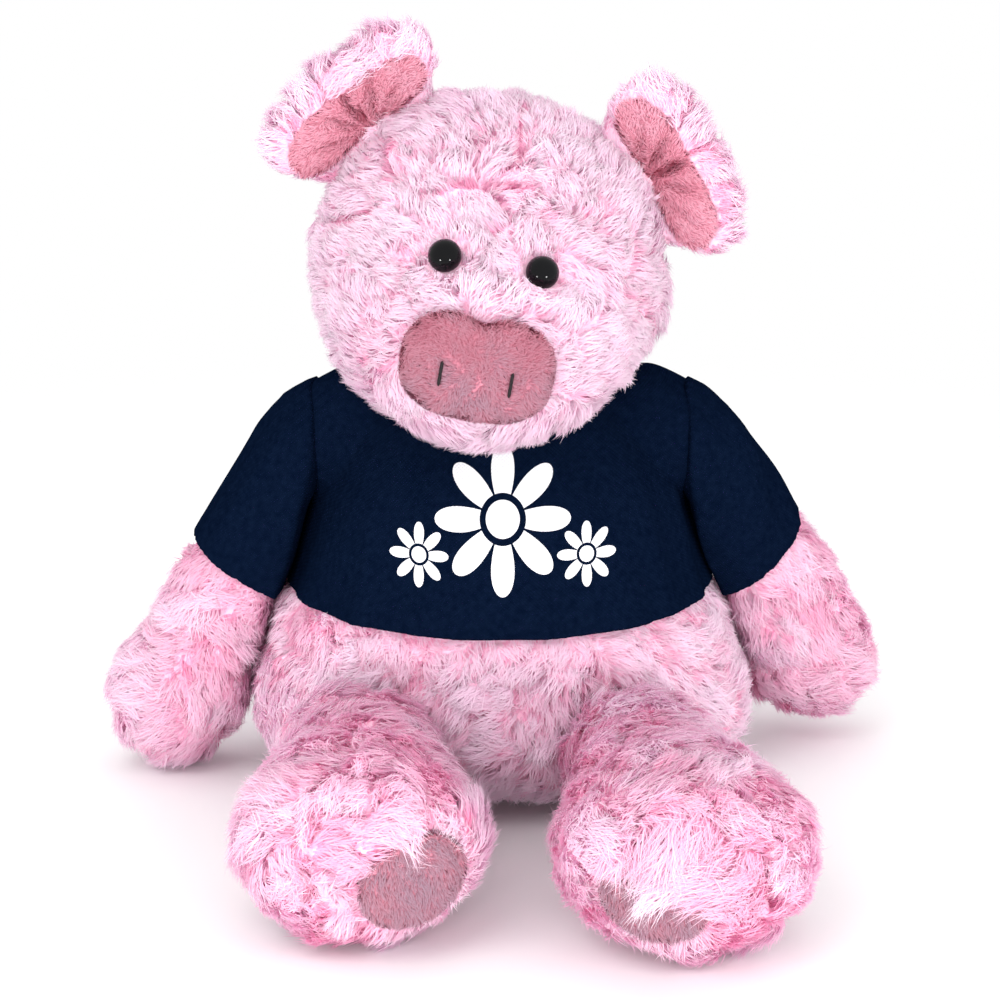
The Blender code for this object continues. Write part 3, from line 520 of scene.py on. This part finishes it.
# lengths in metres; density is strands per square metre, and crease is a function of places
furDefaults = {
    "density": 2.2e6,
    "plateGap": 0.0180,
    "plateWarp": 0.0030,
    "lift": 0.0038,
    "slope": 0.0026,
    "shingle": 0.38,
    "plateTurn": 0.50,
    "plateBend": 0.50,
    "plateTall": (0.65, 1.15),
    "plateTone": 0.07,
    "lumpGap": 0.0068,
    "lumpWarp": 0.0007,
    "lump": 0.0015,
    "lumpSlope": 0.0024,
    "lumpTurn": 0.35,
    "creaseReach": 0.0020,
    "length": 0.0064,
    "rise": 0.0040,
    "rootDepth": 0.0003,
    "strandTurn": 0.28,
    "strandBend": 0.35,
    "strandTone": 0.06,
    "clump": 0.40,
    "swirl": 0.60,
    "swirlSize": 0.045,
    "width": 0.00021,
    "tone": 0.55,
    "crease": None,
    "skinFloor": 0.0004,
    "tipFloor": 0.0002,
}


def rounded(share):
    share = np.clip(share, 0, 1)
    return share * (2 - share)


def fur(name, skin, body, seed, comb, keep, level, **changes):
    # the pile stands in plates with thin creases between them, and the skin is raised with it
    v = {**furDefaults, **changes}
    rng = np.random.default_rng(seed)
    plates, _ = scatter(skin, 1 / v["plateGap"] ** 2, rng, keep)
    lumps, _ = scatter(skin, 1 / v["lumpGap"] ** 2, rng, keep)
    plateTurn = rng.normal(0, v["plateTurn"], len(plates)) + drift(plates, v["swirlSize"]) * v["swirl"]
    plateBend = rng.normal(0, v["plateBend"], len(plates))
    plateTall = rng.uniform(*v["plateTall"], len(plates))
    plateTone = rng.normal(0, v["plateTone"], len(plates))
    lumpTurn = rng.normal(0, v["lumpTurn"], len(lumps))
    withModifier(skin, "SUBSURF", levels=1, render_levels=1)
    base = treeOf(skin)

    def formAt(at, normal):
        which, border = cellsAt(at, plates, v["plateWarp"])
        lump, lumpBorder = cellsAt(at, lumps, v["lumpWarp"])
        way = tangentOf(comb(at, normal), normal)
        turn = plateTurn[which]
        heading = way * np.cos(turn)[:, None] + np.cross(normal, way) * np.sin(turn)[:, None]
        forward = np.sum((at - plates[which]) * heading, axis=1) / (0.55 * v["plateGap"])
        return which, lump, border, lumpBorder, way, np.clip(forward, -1, 1)

    points, normals, _ = triangleSet(skin)
    which, lump, border, lumpBorder, way, forward = formAt(points, normals)
    lift = v["lift"] * plateTall[which] * rounded(border / v["slope"]) * (1 + v["shingle"] * forward)
    if v["crease"]:
        lift *= 1 - 0.9 * v["crease"](points)
    lift += v["lump"] * rounded(lumpBorder / v["lumpSlope"])
    raised = points + normals * (lift * level(points) * keep(points, normals))[:, None]
    # what would go through the floor lies flat on it
    raised[:, 2] = np.maximum(raised[:, 2], np.minimum(points[:, 2], v["skinFloor"]))
    placeCoordinates(skin, raised)
    places, upward = scatter(skin, v["density"], rng, keep)
    count = len(places)
    calm = np.array([base.find_nearest(Vector(p))[1] for p in places])
    growing = unit(0.5 * upward + 0.5 * calm)
    which, lump, border, lumpBorder, way, forward = formAt(places, growing)
    # creased is 1 in the creases between plates and along the brow creases: strands there are shorter, and
    # their tone is painted darker as shade
    creased = 1 - rounded(border / v["creaseReach"])
    if v["crease"]:
        creased = np.maximum(creased, 1.5 * v["crease"](places))
    size = level(places) * (1 - 0.5 * creased)
    tall = v["rise"] * size * rng.uniform(0.75, 1.15, count)
    far = v["length"] * size * rng.uniform(0.7, 1.25, count) * (0.8 + 0.4 * np.clip(forward, 0, 1))
    turn = plateTurn[which] + lumpTurn[lump] + rng.normal(0, v["strandTurn"], count)
    bend = plateBend[which] + rng.normal(0, v["strandBend"], count)
    side = np.cross(growing, way)
    spine = np.empty((count, 3, 3))
    spine[:, 0] = places - growing * v["rootDepth"]
    # the first half of a strand stands up, and the second half lies over
    for k, (up, run) in enumerate(((0.64, 0.28), (0.36, 0.72))):
        angle = turn + bend * k
        heading = way * np.cos(angle)[:, None] + side * np.sin(angle)[:, None]
        spine[:, k + 1] = spine[:, k] + growing * (up * tall)[:, None] + heading * (run * far)[:, None]
    # the tips of each lump draw together
    tips = np.zeros((len(lumps), 3))
    np.add.at(tips, lump, spine[:, 2])
    tips /= np.maximum(np.bincount(lump, minlength=len(lumps)), 1)[:, None]
    pull = v["clump"] * rng.uniform(0.5, 1.3, count)[:, None]
    spine[:, 1] += 0.35 * pull * (tips[lump] - spine[:, 2])
    spine[:, 2] += pull * (tips[lump] - spine[:, 2])
    spine[:, :, 2] = np.maximum(spine[:, :, 2], np.minimum(places[:, None, 2], v["tipFloor"]))
    along = np.gradient(spine, axis=1)
    facing = unit(upward[:, None, :] + rng.normal(0, 0.25, (count, 1, 3)))
    across = unit(np.cross(facing, along))
    widths = (v["width"] * rng.uniform(0.75, 1.25, count))[:, None] * np.array([1.0, 0.95, 0.0])[None]
    # painted shade: the tone is lowered in the creases; it is also a little paler towards each plate's front
    # edge, and varies at random by plate and strand
    tones = v["tone"] + plateTone[which] + 0.10 * forward - 0.60 * creased
    tones = tones + rng.normal(0, v["strandTone"], count)
    shading = unit(0.6 * calm + 0.5 * upward + 0.25 * facing[:, 0])
    for thing in ribbons(name, spine, across, widths, tones, shading, furMaterial):
        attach(thing, body)
    print(name, count, "strands", len(lumps), "lumps", len(plates), "plates")


def centreOf(node):
    a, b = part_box(node)
    return np.array((a + b) / 2)


headMiddle = centreOf("head_cover")
snoutMiddle = centreOf("snout_patch")
# each visible eye: its height over the cover, its depth behind that, and its share of the CAD's radius
eyeDome = {"height": 0.0042, "back": 0.0012, "share": 0.93}


def eyePlace(side):
    points = coordinates(nodes[f"eye_{side}"])
    axis = unit((points.mean(0) - centreOf(f"eye_washer_{side}"))[None])[0]
    base = (points @ axis).max() - eyeDome["height"]
    dome = points[points @ axis > base]
    middle = dome.mean(0)
    offset = dome - middle
    radius = np.linalg.norm(offset - (offset @ axis)[:, None] * axis, axis=1).max()
    return {"base": middle + axis * (base - middle @ axis), "axis": axis, "radius": radius}


eyePlaces = {side: eyePlace(side) for side in ("right", "left")}
eyeMiddles = {side: place["base"] for side, place in eyePlaces.items()}
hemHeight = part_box("shirt_body")[0].z


def distanceTo(tree, places):
    return np.array([tree.find_nearest(Vector(p))[3] for p in places])


snoutTree = treeOf(nodes["snout_patch"])

# the pile of the head runs away from the snout, back and down, and away from each eye
headComb = {"behind": (0, 0.004, 0.004), "back": 0.55, "down": 0.55, "fromEye": 3.0, "eyeReach": 0.008}
# it is lower round the eyes and higher round the snout
headLevel = {"atEye": 0.72, "eyeReach": 0.016, "atSnout": 0.18, "snoutEdge": 0.018, "snoutReach": 0.014}


def combHead(places, upward):
    away = unit(places - (snoutMiddle + np.array(headComb["behind"])))
    back = np.array([0, headComb["back"], 0.0])
    downwards = np.array([0, 0, -headComb["down"]]) * (places[:, 2:3] < headMiddle[2] + 0.01)
    way = away + back + downwards
    for middle in eyeMiddles.values():
        off = places - middle
        far = np.linalg.norm(off, axis=1, keepdims=True)
        near = np.clip(1 - (far - 0.005) / headComb["eyeReach"], 0, 1)
        way = way + headComb["fromEye"] * off / far * near
    return way


def levelHead(places):
    size = np.ones(len(places))
    lowest = headLevel["atEye"]
    for middle in eyeMiddles.values():
        far = np.linalg.norm(places - middle, axis=1)
        size = np.minimum(size, np.clip(lowest + (far - 0.006) / headLevel["eyeReach"], lowest, 1))
    far = np.linalg.norm(places - snoutMiddle, axis=1)
    near = np.clip(1 - (far - headLevel["snoutEdge"]) / headLevel["snoutReach"], 0, 1)
    return size * (1 + headLevel["atSnout"] * near)


# creases in the pile of the brow, where it is lower and painted darker as shade: lines across and up as the
# camera sees them, in metres from the right eye
browLines = [
    ((-0.0052, 0.0170), (0.0235, 0.0196)),
    ((0.0200, 0.0260), (0.0212, 0.0455)),
    ((-0.0150, 0.0215), (-0.0140, 0.0330)),
    ((-0.0290, 0.0110), (-0.0160, 0.0140)),
]
browWidth = 0.0013
cameraPlane = np.array([[1, 0], [0, 0.259], [0, 0.966]])


def browCrease(places):
    flat = (places - eyeMiddles["right"]) @ cameraPlane + 0.0008 * drift(places, 0.012)[:, None]
    deep = np.zeros(len(places))
    for start, end in browLines:
        start, end = np.array(start), np.array(end)
        run = end - start
        t = np.clip((flat - start) @ run / (run @ run), 0, 1)
        far = np.linalg.norm(flat - start - t[:, None] * run, axis=1)
        deep = np.maximum(deep, np.clip(1.4 - far / browWidth, 0, 1))
    return deep * (places[:, 1] < headMiddle[1])


# where the head has no pile: round the eyes, at the snout patch and over the neck
bare = {"eye": 0.0050, "soft": 0.001, "nearSnout": 0.035, "snoutGap": 0.0003, "neck": 0.022}


def keepHead(places, upward):
    share = np.ones(len(places))
    for middle in eyeMiddles.values():
        share *= np.clip((np.linalg.norm(places - middle, axis=1) - bare["eye"]) / bare["soft"], 0, 1)
    near = np.linalg.norm(places - snoutMiddle, axis=1) < bare["nearSnout"]
    gap = np.ones(len(places))
    if near.any():
        gap[near] = distanceTo(snoutTree, places[near])
    share *= np.clip((gap - bare["snoutGap"]) / bare["soft"], 0, 1)
    under = np.linalg.norm((places - headMiddle)[:, :2], axis=1) < bare["neck"]
    share[under & (upward[:, 2] < -0.93)] = 0
    return share


def combTorso(places, upward):
    out = places.copy()
    out[:, 2] = 0
    return np.array([0, 0, -1.0]) + unit(out) * 0.3


def keepTorso(places, upward):
    return (places[:, 2] < hemHeight + 0.001).astype(float)


def levelTorso(places):
    # lower under the hem and at the seat, higher at the flanks
    size = np.clip(0.6 + (hemHeight - places[:, 2]) / 0.016, 0.6, 1)
    size = size * (1 + 0.5 * np.clip(np.abs(places[:, 0]) / 0.02 - 2.0, 0, 1))
    return np.minimum(size, np.clip(0.35 + places[:, 2] / 0.020, 0.35, 1))


headFur = {"length": 0.0050, "rise": 0.0042, "crease": browCrease, "tone": 0.62}
torsoFur = {"plateGap": 0.0140, "length": 0.0078, "tone": 0.50}
fur("head_fur", skins["head"], "head", 21, combHead, keepHead, levelHead, **headFur)
fur("torso_fur", skins["torso"], "torso", 22, combTorso, keepTorso, levelTorso, **torsoFur)

limbPile = {"plateGap": 0.0145, "length": 0.0082, "rise": 0.0042, "tone": 0.34}
cuffPile = {"under": 0.006, "atCuff": 0.5, "reach": 0.020}
padEdge = {"radius": 0.017, "reach": 0.014, "outward": 0.9, "over": 3.4, "gap": 0.0004, "soft": 0.001}
# the pile hangs over each sole pad from the side that way points to
padHang = {
    "right": {"way": np.array([-0.75, 0, 0.65]), "start": -0.3, "growth": 0.3},
    "left": {"way": np.array([0.45, 0, 0.89]), "start": 0.35, "growth": 0.9},
}


def limbFur(kind, side, seed):
    body = f"{kind}_{side}"
    root, axis = limbLine(kind, side)
    if kind == "arm":
        pileStart = sleeveReach(side) - cuffPile["under"]

        def comb(places, upward):
            return axis[None] + np.zeros_like(places)

        def keep(places, upward):
            return ((places - root) @ axis > pileStart).astype(float)

        def level(places):
            past = (places - root) @ axis - pileStart
            return np.clip(cuffPile["atCuff"] + past / cuffPile["reach"], cuffPile["atCuff"], 1)

    else:
        padTree = treeOf(nodes[f"foot_pad_{side}"])
        padMiddle = centreOf(f"foot_pad_{side}")
        hang = padHang[side]

        def over(places):
            off = places - padMiddle
            far = np.linalg.norm(off, axis=1, keepdims=True)
            near = np.clip(1 - (far - padEdge["radius"]) / padEdge["reach"], 0, 1)
            lean = np.clip(off / far @ hang["way"] + hang["start"], 0, 1)[:, None]
            return off / far, near, lean

        def comb(places, upward):
            off, near, lean = over(places)
            return axis[None] + near * off * (padEdge["outward"] - padEdge["over"] * lean)

        def keep(places, upward):
            return np.clip((distanceTo(padTree, places) - padEdge["gap"]) / padEdge["soft"], 0, 1)

        def level(places):
            _, near, lean = over(places)
            return 0.85 + 0.15 * (1 - near[:, 0]) + hang["growth"] * (near * lean)[:, 0]

    fur(f"{body}_fur", skins[body], body, seed, comb, keep, level, **limbPile)


for number, (kind, side) in enumerate((k, s) for k in ("arm", "leg") for s in ("right", "left")):
    limbFur(kind, side, 30 + number)

for body, thing in skins.items():
    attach(thing, body)
    cover = skinSpecs[body]["nodes"][0]
    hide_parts(cover)


def softCopy(node, name, voxel, rounds, material, grow=0.0):
    # a smooth copy of a CAD node, grown or shrunk along its normals
    thing = copyOf(name, node)
    withModifier(thing, "REMESH", mode="VOXEL", voxel_size=voxel)
    withModifier(thing, "SMOOTH", factor=0.5, iterations=rounds)
    if grow:
        withModifier(thing, "DISPLACE", direction="NORMAL", strength=grow, mid_level=0.0)
    outwards(thing)
    smooth(thing)
    thing.data.materials.append(material)
    return thing


# the pile on the head hides the root of each ear, which sits on the cloth under it
earSink = {"right": 0.0060, "left": 0.0056}
earPile = {"plateGap": 0.012, "lift": 0.0026, "length": 0.0078, "rise": 0.0046, "tone": 0.56}
earComb = {"spread": 0.5, "outward": 0.9}
earGrowth = {"atRoot": 0.55, "reach": 0.030, "liningGap": 0.0006, "soft": 0.001}
# folds of the lining: their angles in degrees from the hinge's line, the deepest in the middle
earFolds = {
    "angles": (28, 58, 90, 122, 152),
    "deepest": 90,
    "width": 0.0012,
    "depth": 0.0016,
    "reach": 0.021,
    "puff": 0.0022,
    "puffReach": 0.020,
}


def earAxes(side):
    joint = next(j for j in frame["joints"] if j["child"] == f"ear_{side}")
    root, axis = np.array(joint["pos_m"]), unit(np.array([joint["axis"]]))[0]
    out = coordinates(nodes[f"ear_back_{side}"]).mean(0) - root
    out = out - axis * (out @ axis)
    out = unit(out[None])[0]
    back = np.cross(axis, out)
    if back[1] < 0:
        back = -back
    return root, axis, out, back


def foldOf(side, points):
    # how deep in a fold of the lining each point lies, 0 to 1
    root, axis, out, _ = earAxes(side)
    x, z = (points - root) @ axis, (points - root) @ out - 0.001
    r, angle = np.hypot(x, z), np.degrees(np.arctan2(z, x))
    deep = np.zeros(len(points))
    for fold in earFolds["angles"]:
        off = np.radians(angle - fold) * np.maximum(r, 0.002)
        strong = 1.6 if fold == earFolds["deepest"] else 1.0
        deep = np.maximum(deep, strong * np.exp(-((off / earFolds["width"]) ** 2)))
    return deep * np.clip(1 - r / earFolds["reach"], 0, 1) ** 0.7


def sinkEar(thing, side):
    placeCoordinates(thing, coordinates(thing) - earAxes(side)[2] * earSink[side])


def earFur(side, seed):
    body = f"ear_{side}"
    skin = softCopy(f"ear_back_{side}", f"ear_{side}_skin", 0.0012, 4, backingMaterial, -0.0012)
    sinkEar(skin, side)
    root, _, out, _ = earAxes(side)
    liningTree = treeOf(nodes[f"ear_lining_{side}"])
    middle = centreOf(f"ear_lining_{side}") - out * earSink[side]

    def comb(places, upward):
        return earComb["spread"] * unit(places - middle) + earComb["outward"] * out

    def level(places):
        lowest = earGrowth["atRoot"]
        return np.clip(lowest + ((places - root) @ out) / earGrowth["reach"], lowest, 1)

    def keep(places, upward):
        gap = distanceTo(liningTree, places + out * earSink[side])
        return np.clip((gap - earGrowth["liningGap"]) / earGrowth["soft"], 0, 1)

    fur(f"ear_{side}_fur", skin, body, seed, comb, keep, level, **earPile)
    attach(skin, body)
    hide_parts(f"ear_back_{side}")


for number, side in enumerate(("right", "left")):
    earFur(side, 40 + number)

tailRoot = jointPlace("tail")
tailPile = {"length": 0.0034, "rise": 0.0018, "plateGap": 0.007, "lift": 0.0012}
neckPile = {"length": 0.005, "rise": 0.0022, "lift": 0.0008}


def everywhere(places, upward=None):
    return np.ones(len(places))


def combTail(places, upward):
    return unit(places - tailRoot) + np.array([0, 0, 0.2])


def combNeck(places, upward):
    return np.array([0, 0, -1.0]) + np.zeros_like(places)


def keepNeck(places, upward):
    return (np.abs(upward[:, 2]) < 0.8).astype(float)


tailSkin = softCopy("tail", "tail_skin", 0.0012, 3, backingMaterial, -0.0012)
fur("tail_fur", tailSkin, "tail", 50, combTail, everywhere, everywhere, **tailPile)
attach(tailSkin, "tail")
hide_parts("tail")

neckSkin = softCopy("neck_stuffing", "neck_skin", 0.0012, 4, backingMaterial, -0.0008)
fur("neck_fur", neckSkin, "neck", 51, combNeck, keepNeck, everywhere, **neckPile)
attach(neckSkin, "neck")
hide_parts("neck_stuffing")
print("fur made")


shortPile = {"length": 0.0019, "rise": 0.0011, "width": 0.00014, "swirl": 0.4, "swirlSize": 0.006}


def pile(name, skin, body, seed, comb, toneOf, density, front, material=velboaMaterial):
    # short strands on the side of the skin that looks towards front
    v = shortPile
    rng = np.random.default_rng(seed)
    front = unit(np.array([front]))

    def keep(places, upward):
        return (upward @ front[0] > -0.25).astype(float)

    places, upward = scatter(skin, density, rng, keep)
    count = len(places)
    way = comb(places) + rng.normal(0, 0.30, (count, 3)) + v["swirl"] * swirls(places, v["swirlSize"])
    way = tangentOf(way, upward)
    size = rng.uniform(0.75, 1.2, count)
    spine = np.empty((count, 3, 3))
    for k, t in enumerate((0.0, 0.5, 1.0)):
        spine[:, k] = places + upward * (v["rise"] * size * (1 - (1 - t) ** 1.5))[:, None]
        spine[:, k] += way * (v["length"] * size * t**1.3)[:, None]
    along = np.gradient(spine, axis=1)
    facing = unit(upward[:, None, :] + rng.normal(0, 0.3, (count, 1, 3)))
    across = unit(np.cross(facing, along))
    widths = (v["width"] * rng.uniform(0.8, 1.2, count))[:, None] * np.array([1.0, 0.85, 0.0])[None]
    tones = toneOf(places) + 0.05 * drift(places, 0.0022) + rng.normal(0, 0.07, count)
    shading = unit(upward + 0.8 * front + rng.normal(0, 0.15, (count, 3)))
    for thing in ribbons(name, spine, across, widths, tones, shading, material):
        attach(thing, body)
    print(name, count, "strands")


snoutSkin = softCopy("snout_patch", "snout_cloth", 0.0009, 5, velboaBase, -0.0006)


def snoutComb(places):
    return unit(places - snoutMiddle - np.array([0, 0.006, 0]))


def snoutTone(places):
    # painted light: the upper snout is darker as painted shade, and the lower part paler and greyer as
    # painted sheen where the pile turns under
    upper = np.clip((places - snoutMiddle)[:, 2] / 0.012, -1, 1)
    return 0.62 - 0.22 * np.clip(upper, 0, 1) + 0.10 * np.clip(-upper, 0, 1) + 0.10 * drift(places, 0.012)


pile("snout_pile", snoutSkin, "head", 60, snoutComb, snoutTone, 7.0e6, snoutMiddle - headMiddle)
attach(snoutSkin, "head")
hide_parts("snout_patch")


def earLining(side, seed):
    lining = softCopy(f"ear_lining_{side}", f"ear_{side}_lining_cloth", 0.0006, 3, velboaBase, 0.0005)
    root, _, out, back = earAxes(side)
    points = coordinates(lining)
    deep = foldOf(side, points)
    swell = np.sin(np.clip(((points - root) @ out) / earFolds["puffReach"], 0, 1) * math.pi)
    puff = earFolds["puff"] * swell * (1 - np.clip(deep, 0, 1))
    placeCoordinates(lining, points + back * (earFolds["depth"] * deep - puff)[:, None] - out * earSink[side])
    outwards(lining)

    def comb(places):
        return unit(places - root)

    def tone(places):
        folded = np.clip(foldOf(side, places + out * earSink[side]), 0, 1)
        # painted shade: the lining's tone is darker in its folds
        return 0.52 + 0.10 * drift(places, 0.012) - 0.30 * folded

    pile(f"ear_{side}_lining_pile", lining, f"ear_{side}", seed, comb, tone, 6.0e6, -back, liningMaterial)
    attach(lining, f"ear_{side}")
    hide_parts(f"ear_lining_{side}")


def padComb(places):
    return np.array([[0.2, 0, -1.0]]) + np.zeros_like(places)


def padTone(places):
    return 0.88 + 0.08 * drift(places, 0.010)


def footPad(side, seed):
    pad = softCopy(f"foot_pad_{side}", f"foot_{side}_pad_cloth", 0.0007, 3, velboaBase, -0.0003)
    front = centreOf(f"foot_pad_{side}") - centreOf(f"leg_cover_{side}")
    pile(f"foot_{side}_pad_pile", pad, f"leg_{side}", seed, padComb, padTone, 5.5e6, front)
    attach(pad, f"leg_{side}")
    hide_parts(f"foot_pad_{side}")


for number, side in enumerate(("right", "left")):
    earLining(side, 62 + number)
    footPad(side, 66 + number)
print("velboa made")


for side in ("right", "left"):
    place = eyePlaces[side]
    axis, radius, base = place["axis"], place["radius"] * eyeDome["share"], place["base"]
    bpy.ops.object.select_all(action="DESELECT")
    bpy.ops.mesh.primitive_uv_sphere_add(segments=48, ring_count=32, radius=1)
    eye = bpy.context.object
    eye.name = f"eye_{side}_dome"
    facing = Vector(axis).to_track_quat("Z", "Y").to_matrix()
    turned = (np.array(facing) @ coordinates(eye).T).T
    height = turned @ axis
    flat = turned - height[:, None] * axis
    depth = np.where(height > 0, height * eyeDome["height"], height * eyeDome["back"])
    placeCoordinates(eye, base + flat * radius + axis * depth[:, None])
    outwards(eye)
    smooth(eye)
    eye.data.materials.append(eyeMaterial)
    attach(eye, "head")
    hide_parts(f"eye_{side}")
    print("eye", side, "radius", round(radius * 1000, 2))

for side in ("right", "left"):
    thread = f"nostril_{side}_thread"
    stitch = softCopy(f"nostril_stitch_{side}", thread, 0.00025, 2, threadMaterial, -0.0003)
    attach(stitch, "head")
    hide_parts(f"nostril_stitch_{side}")


shirtForm = {
    "voxel": 0.0009,
    "rounds": 6,
    "seamOut": 0.0535,
    "seamWidth": 0.007,
    "seamHeights": (0.084, 0.090),
    "sleeveSeam": 0.0022,
    "bodySeam": -0.0006,
    "shoulderHeights": (0.104, 0.120),
    "neckRise": 0.0028,
    "neckOut": (0.030, 0.042),
    "shoulderDrop": 0.0066,
    "shoulderOut": (0.044, 0.060),
    "ripple": 0.0006,
    "rippleSize": 0.024,
}


def cloth(node, name, material, seam):
    v = shirtForm
    thing = copyOf(name, node)
    withModifier(thing, "REMESH", mode="VOXEL", voxel_size=v["voxel"])
    withModifier(thing, "SMOOTH", factor=0.5, iterations=v["rounds"])
    points = coordinates(thing)
    # the seam's two edges meet, though smoothing drew them back
    out = np.abs(points[:, 0])
    if seam > 0:
        reach = 1 - eased(out, v["seamOut"], v["seamOut"] + v["seamWidth"])
    else:
        reach = eased(out, v["seamOut"] - v["seamWidth"], v["seamOut"])
    points[:, 0] -= np.sign(points[:, 0]) * seam * reach * eased(points[:, 2], *v["seamHeights"])
    # the shoulders slope from the neck
    slope = v["neckRise"] * eased(out, *v["neckOut"]) - v["shoulderDrop"] * eased(out, *v["shoulderOut"])
    points[:, 2] += eased(points[:, 2], *v["shoulderHeights"]) * slope
    outer = unit(points * np.array([1, 1, 0]))
    wave = drift(points * np.array([1, 1, 0.55]), v["rippleSize"], 12) * v["ripple"]
    placeCoordinates(thing, points + outer * wave[:, None])
    outwards(thing)
    smooth(thing)
    thing.data.materials.append(material)
    return thing


shirtBody = cloth("shirt_body", "shirt_body_cloth", knitFrontMaterial, shirtForm["bodySeam"])
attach(shirtBody, "torso")
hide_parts("shirt_body")
for side in ("right", "left"):
    seam = shirtForm["sleeveSeam"]
    sleeve = cloth(f"shirt_sleeve_{side}", f"shirt_sleeve_{side}_cloth", knitMaterial, seam)
    hand = 1 if side == "left" else -1
    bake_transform(sleeve)
    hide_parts(f"shirt_sleeve_{side}")
neckband = softCopy("shirt_neckband", "shirt_neckband_rib", 0.0008, 4, knitMaterial)
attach(neckband, "torso")
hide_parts("shirt_neckband")
print("shirt made")


inside = {
    "torso_fill": fibreMaterial,
    "pellet_bag": fibreMaterial,
    "head_fill": fibreMaterial,
    "leg_fill_right": fibreMaterial,
    "leg_fill_left": fibreMaterial,
    "eye_washer_right": washerMaterial,
    "eye_washer_left": washerMaterial,
}
for node, material in inside.items():
    nodes[node].data.materials.clear()
    nodes[node].data.materials.append(material)


floorMaterial, floorTree, floorShader = newMaterial("paleFloor", specular=0.05)
floorShader.inputs["Base Color"].default_value = (0.95, 0.95, 0.95, 1)
# the floor fades into the white round it
floorFade = {"start": 0.22, "width": 0.35}
away = floorTree.nodes.new("ShaderNodeVectorMath")
away.operation = "LENGTH"
floorTree.links.new(floorTree.nodes.new("ShaderNodeTexCoord").outputs["Object"], away.inputs[0])
past = maths(floorTree, "SUBTRACT", away.outputs["Value"], floorFade["start"])
past = maths(floorTree, "DIVIDE", past, floorFade["width"])
fade = ramp(floorTree, [(0.0, (0, 0, 0)), (1.0, (1, 1, 1))], past, "EASE")
clear = floorTree.nodes.new("ShaderNodeBsdfTransparent")
floorMix = floorTree.nodes.new("ShaderNodeMixShader")
floorTree.links.new(fade, floorMix.inputs["Fac"])
floorTree.links.new(floorShader.outputs[0], floorMix.inputs[1])
floorTree.links.new(clear.outputs[0], floorMix.inputs[2])
floorTree.links.new(floorMix.outputs[0], floorTree.nodes["Material Output"].inputs["Surface"])
bpy.ops.object.select_all(action="DESELECT")
bpy.ops.mesh.primitive_plane_add(size=3)
floor = bpy.context.object
floor.name = "floor"
floor.data.materials.append(floorMaterial)

world = bpy.data.worlds.new("studio")
bpy.context.scene.world = world
world.use_nodes = True
worldTree = world.node_tree
background = worldTree.nodes["Background"]
background.inputs["Color"].default_value = (1, 1, 1, 1)
rays = worldTree.nodes.new("ShaderNodeLightPath")
seen = maths(worldTree, "MAXIMUM", rays.outputs["Is Camera Ray"], rays.outputs["Is Glossy Ray"])
seen = maths(worldTree, "MAXIMUM", seen, rays.outputs["Is Transmission Ray"])
# white where it is seen, and a little less as light
strength = maths(worldTree, "ADD", 0.96, maths(worldTree, "MULTIPLY", seen, 0.04))
worldTree.links.new(strength, background.inputs["Strength"])


def lamp(name, place, size, power, aim=(0, 0, 0.1)):
    data = bpy.data.lights.new(name, "AREA")
    data.shape = "RECTANGLE"
    data.size, data.size_y = size
    data.energy = power
    thing = bpy.data.objects.new(name, data)
    thing.location = place
    thing.rotation_euler = (Vector(aim) - Vector(place)).to_track_quat("-Z", "Y").to_euler()
    thing.visible_glossy = name.startswith("glint")
    bpy.context.scene.collection.objects.link(thing)


lamp("keyLight", (-0.55, -0.95, 1.05), (0.8, 0.8), 5.4)
lamp("fillLight", (0.9, -0.8, 0.6), (0.7, 0.7), 2.5)
lamp("topLight", (0.0, 0.3, 1.3), (1.0, 1.0), 1.5)
for hand in (-1, 1):
    lamp(f"glint{hand + 2}", (0.30 * hand, -0.58, 0.03), (0.075, 0.075), 1.0, (0, -0.06, 0.15))
lamp("frontLight", (0.0, -2.6, 0.30), (2.2, 1.4), 30, (0, 0, 0.07))

scene = bpy.context.scene
scene.view_settings.view_transform = "Standard"
# one metre from the target, a little above it
elevation = math.radians(15)
target = Vector((0, 0, 0.083))
cameraData = bpy.data.cameras.new("camera")
cameraData.lens = 120
cameraData.sensor_width = 36
camera = bpy.data.objects.new("camera", cameraData)
camera.location = target + Vector((0, -math.cos(elevation), math.sin(elevation)))
camera.rotation_euler = (target - camera.location).to_track_quat("-Z", "Y").to_euler()
scene.collection.objects.link(camera)
scene.camera = camera
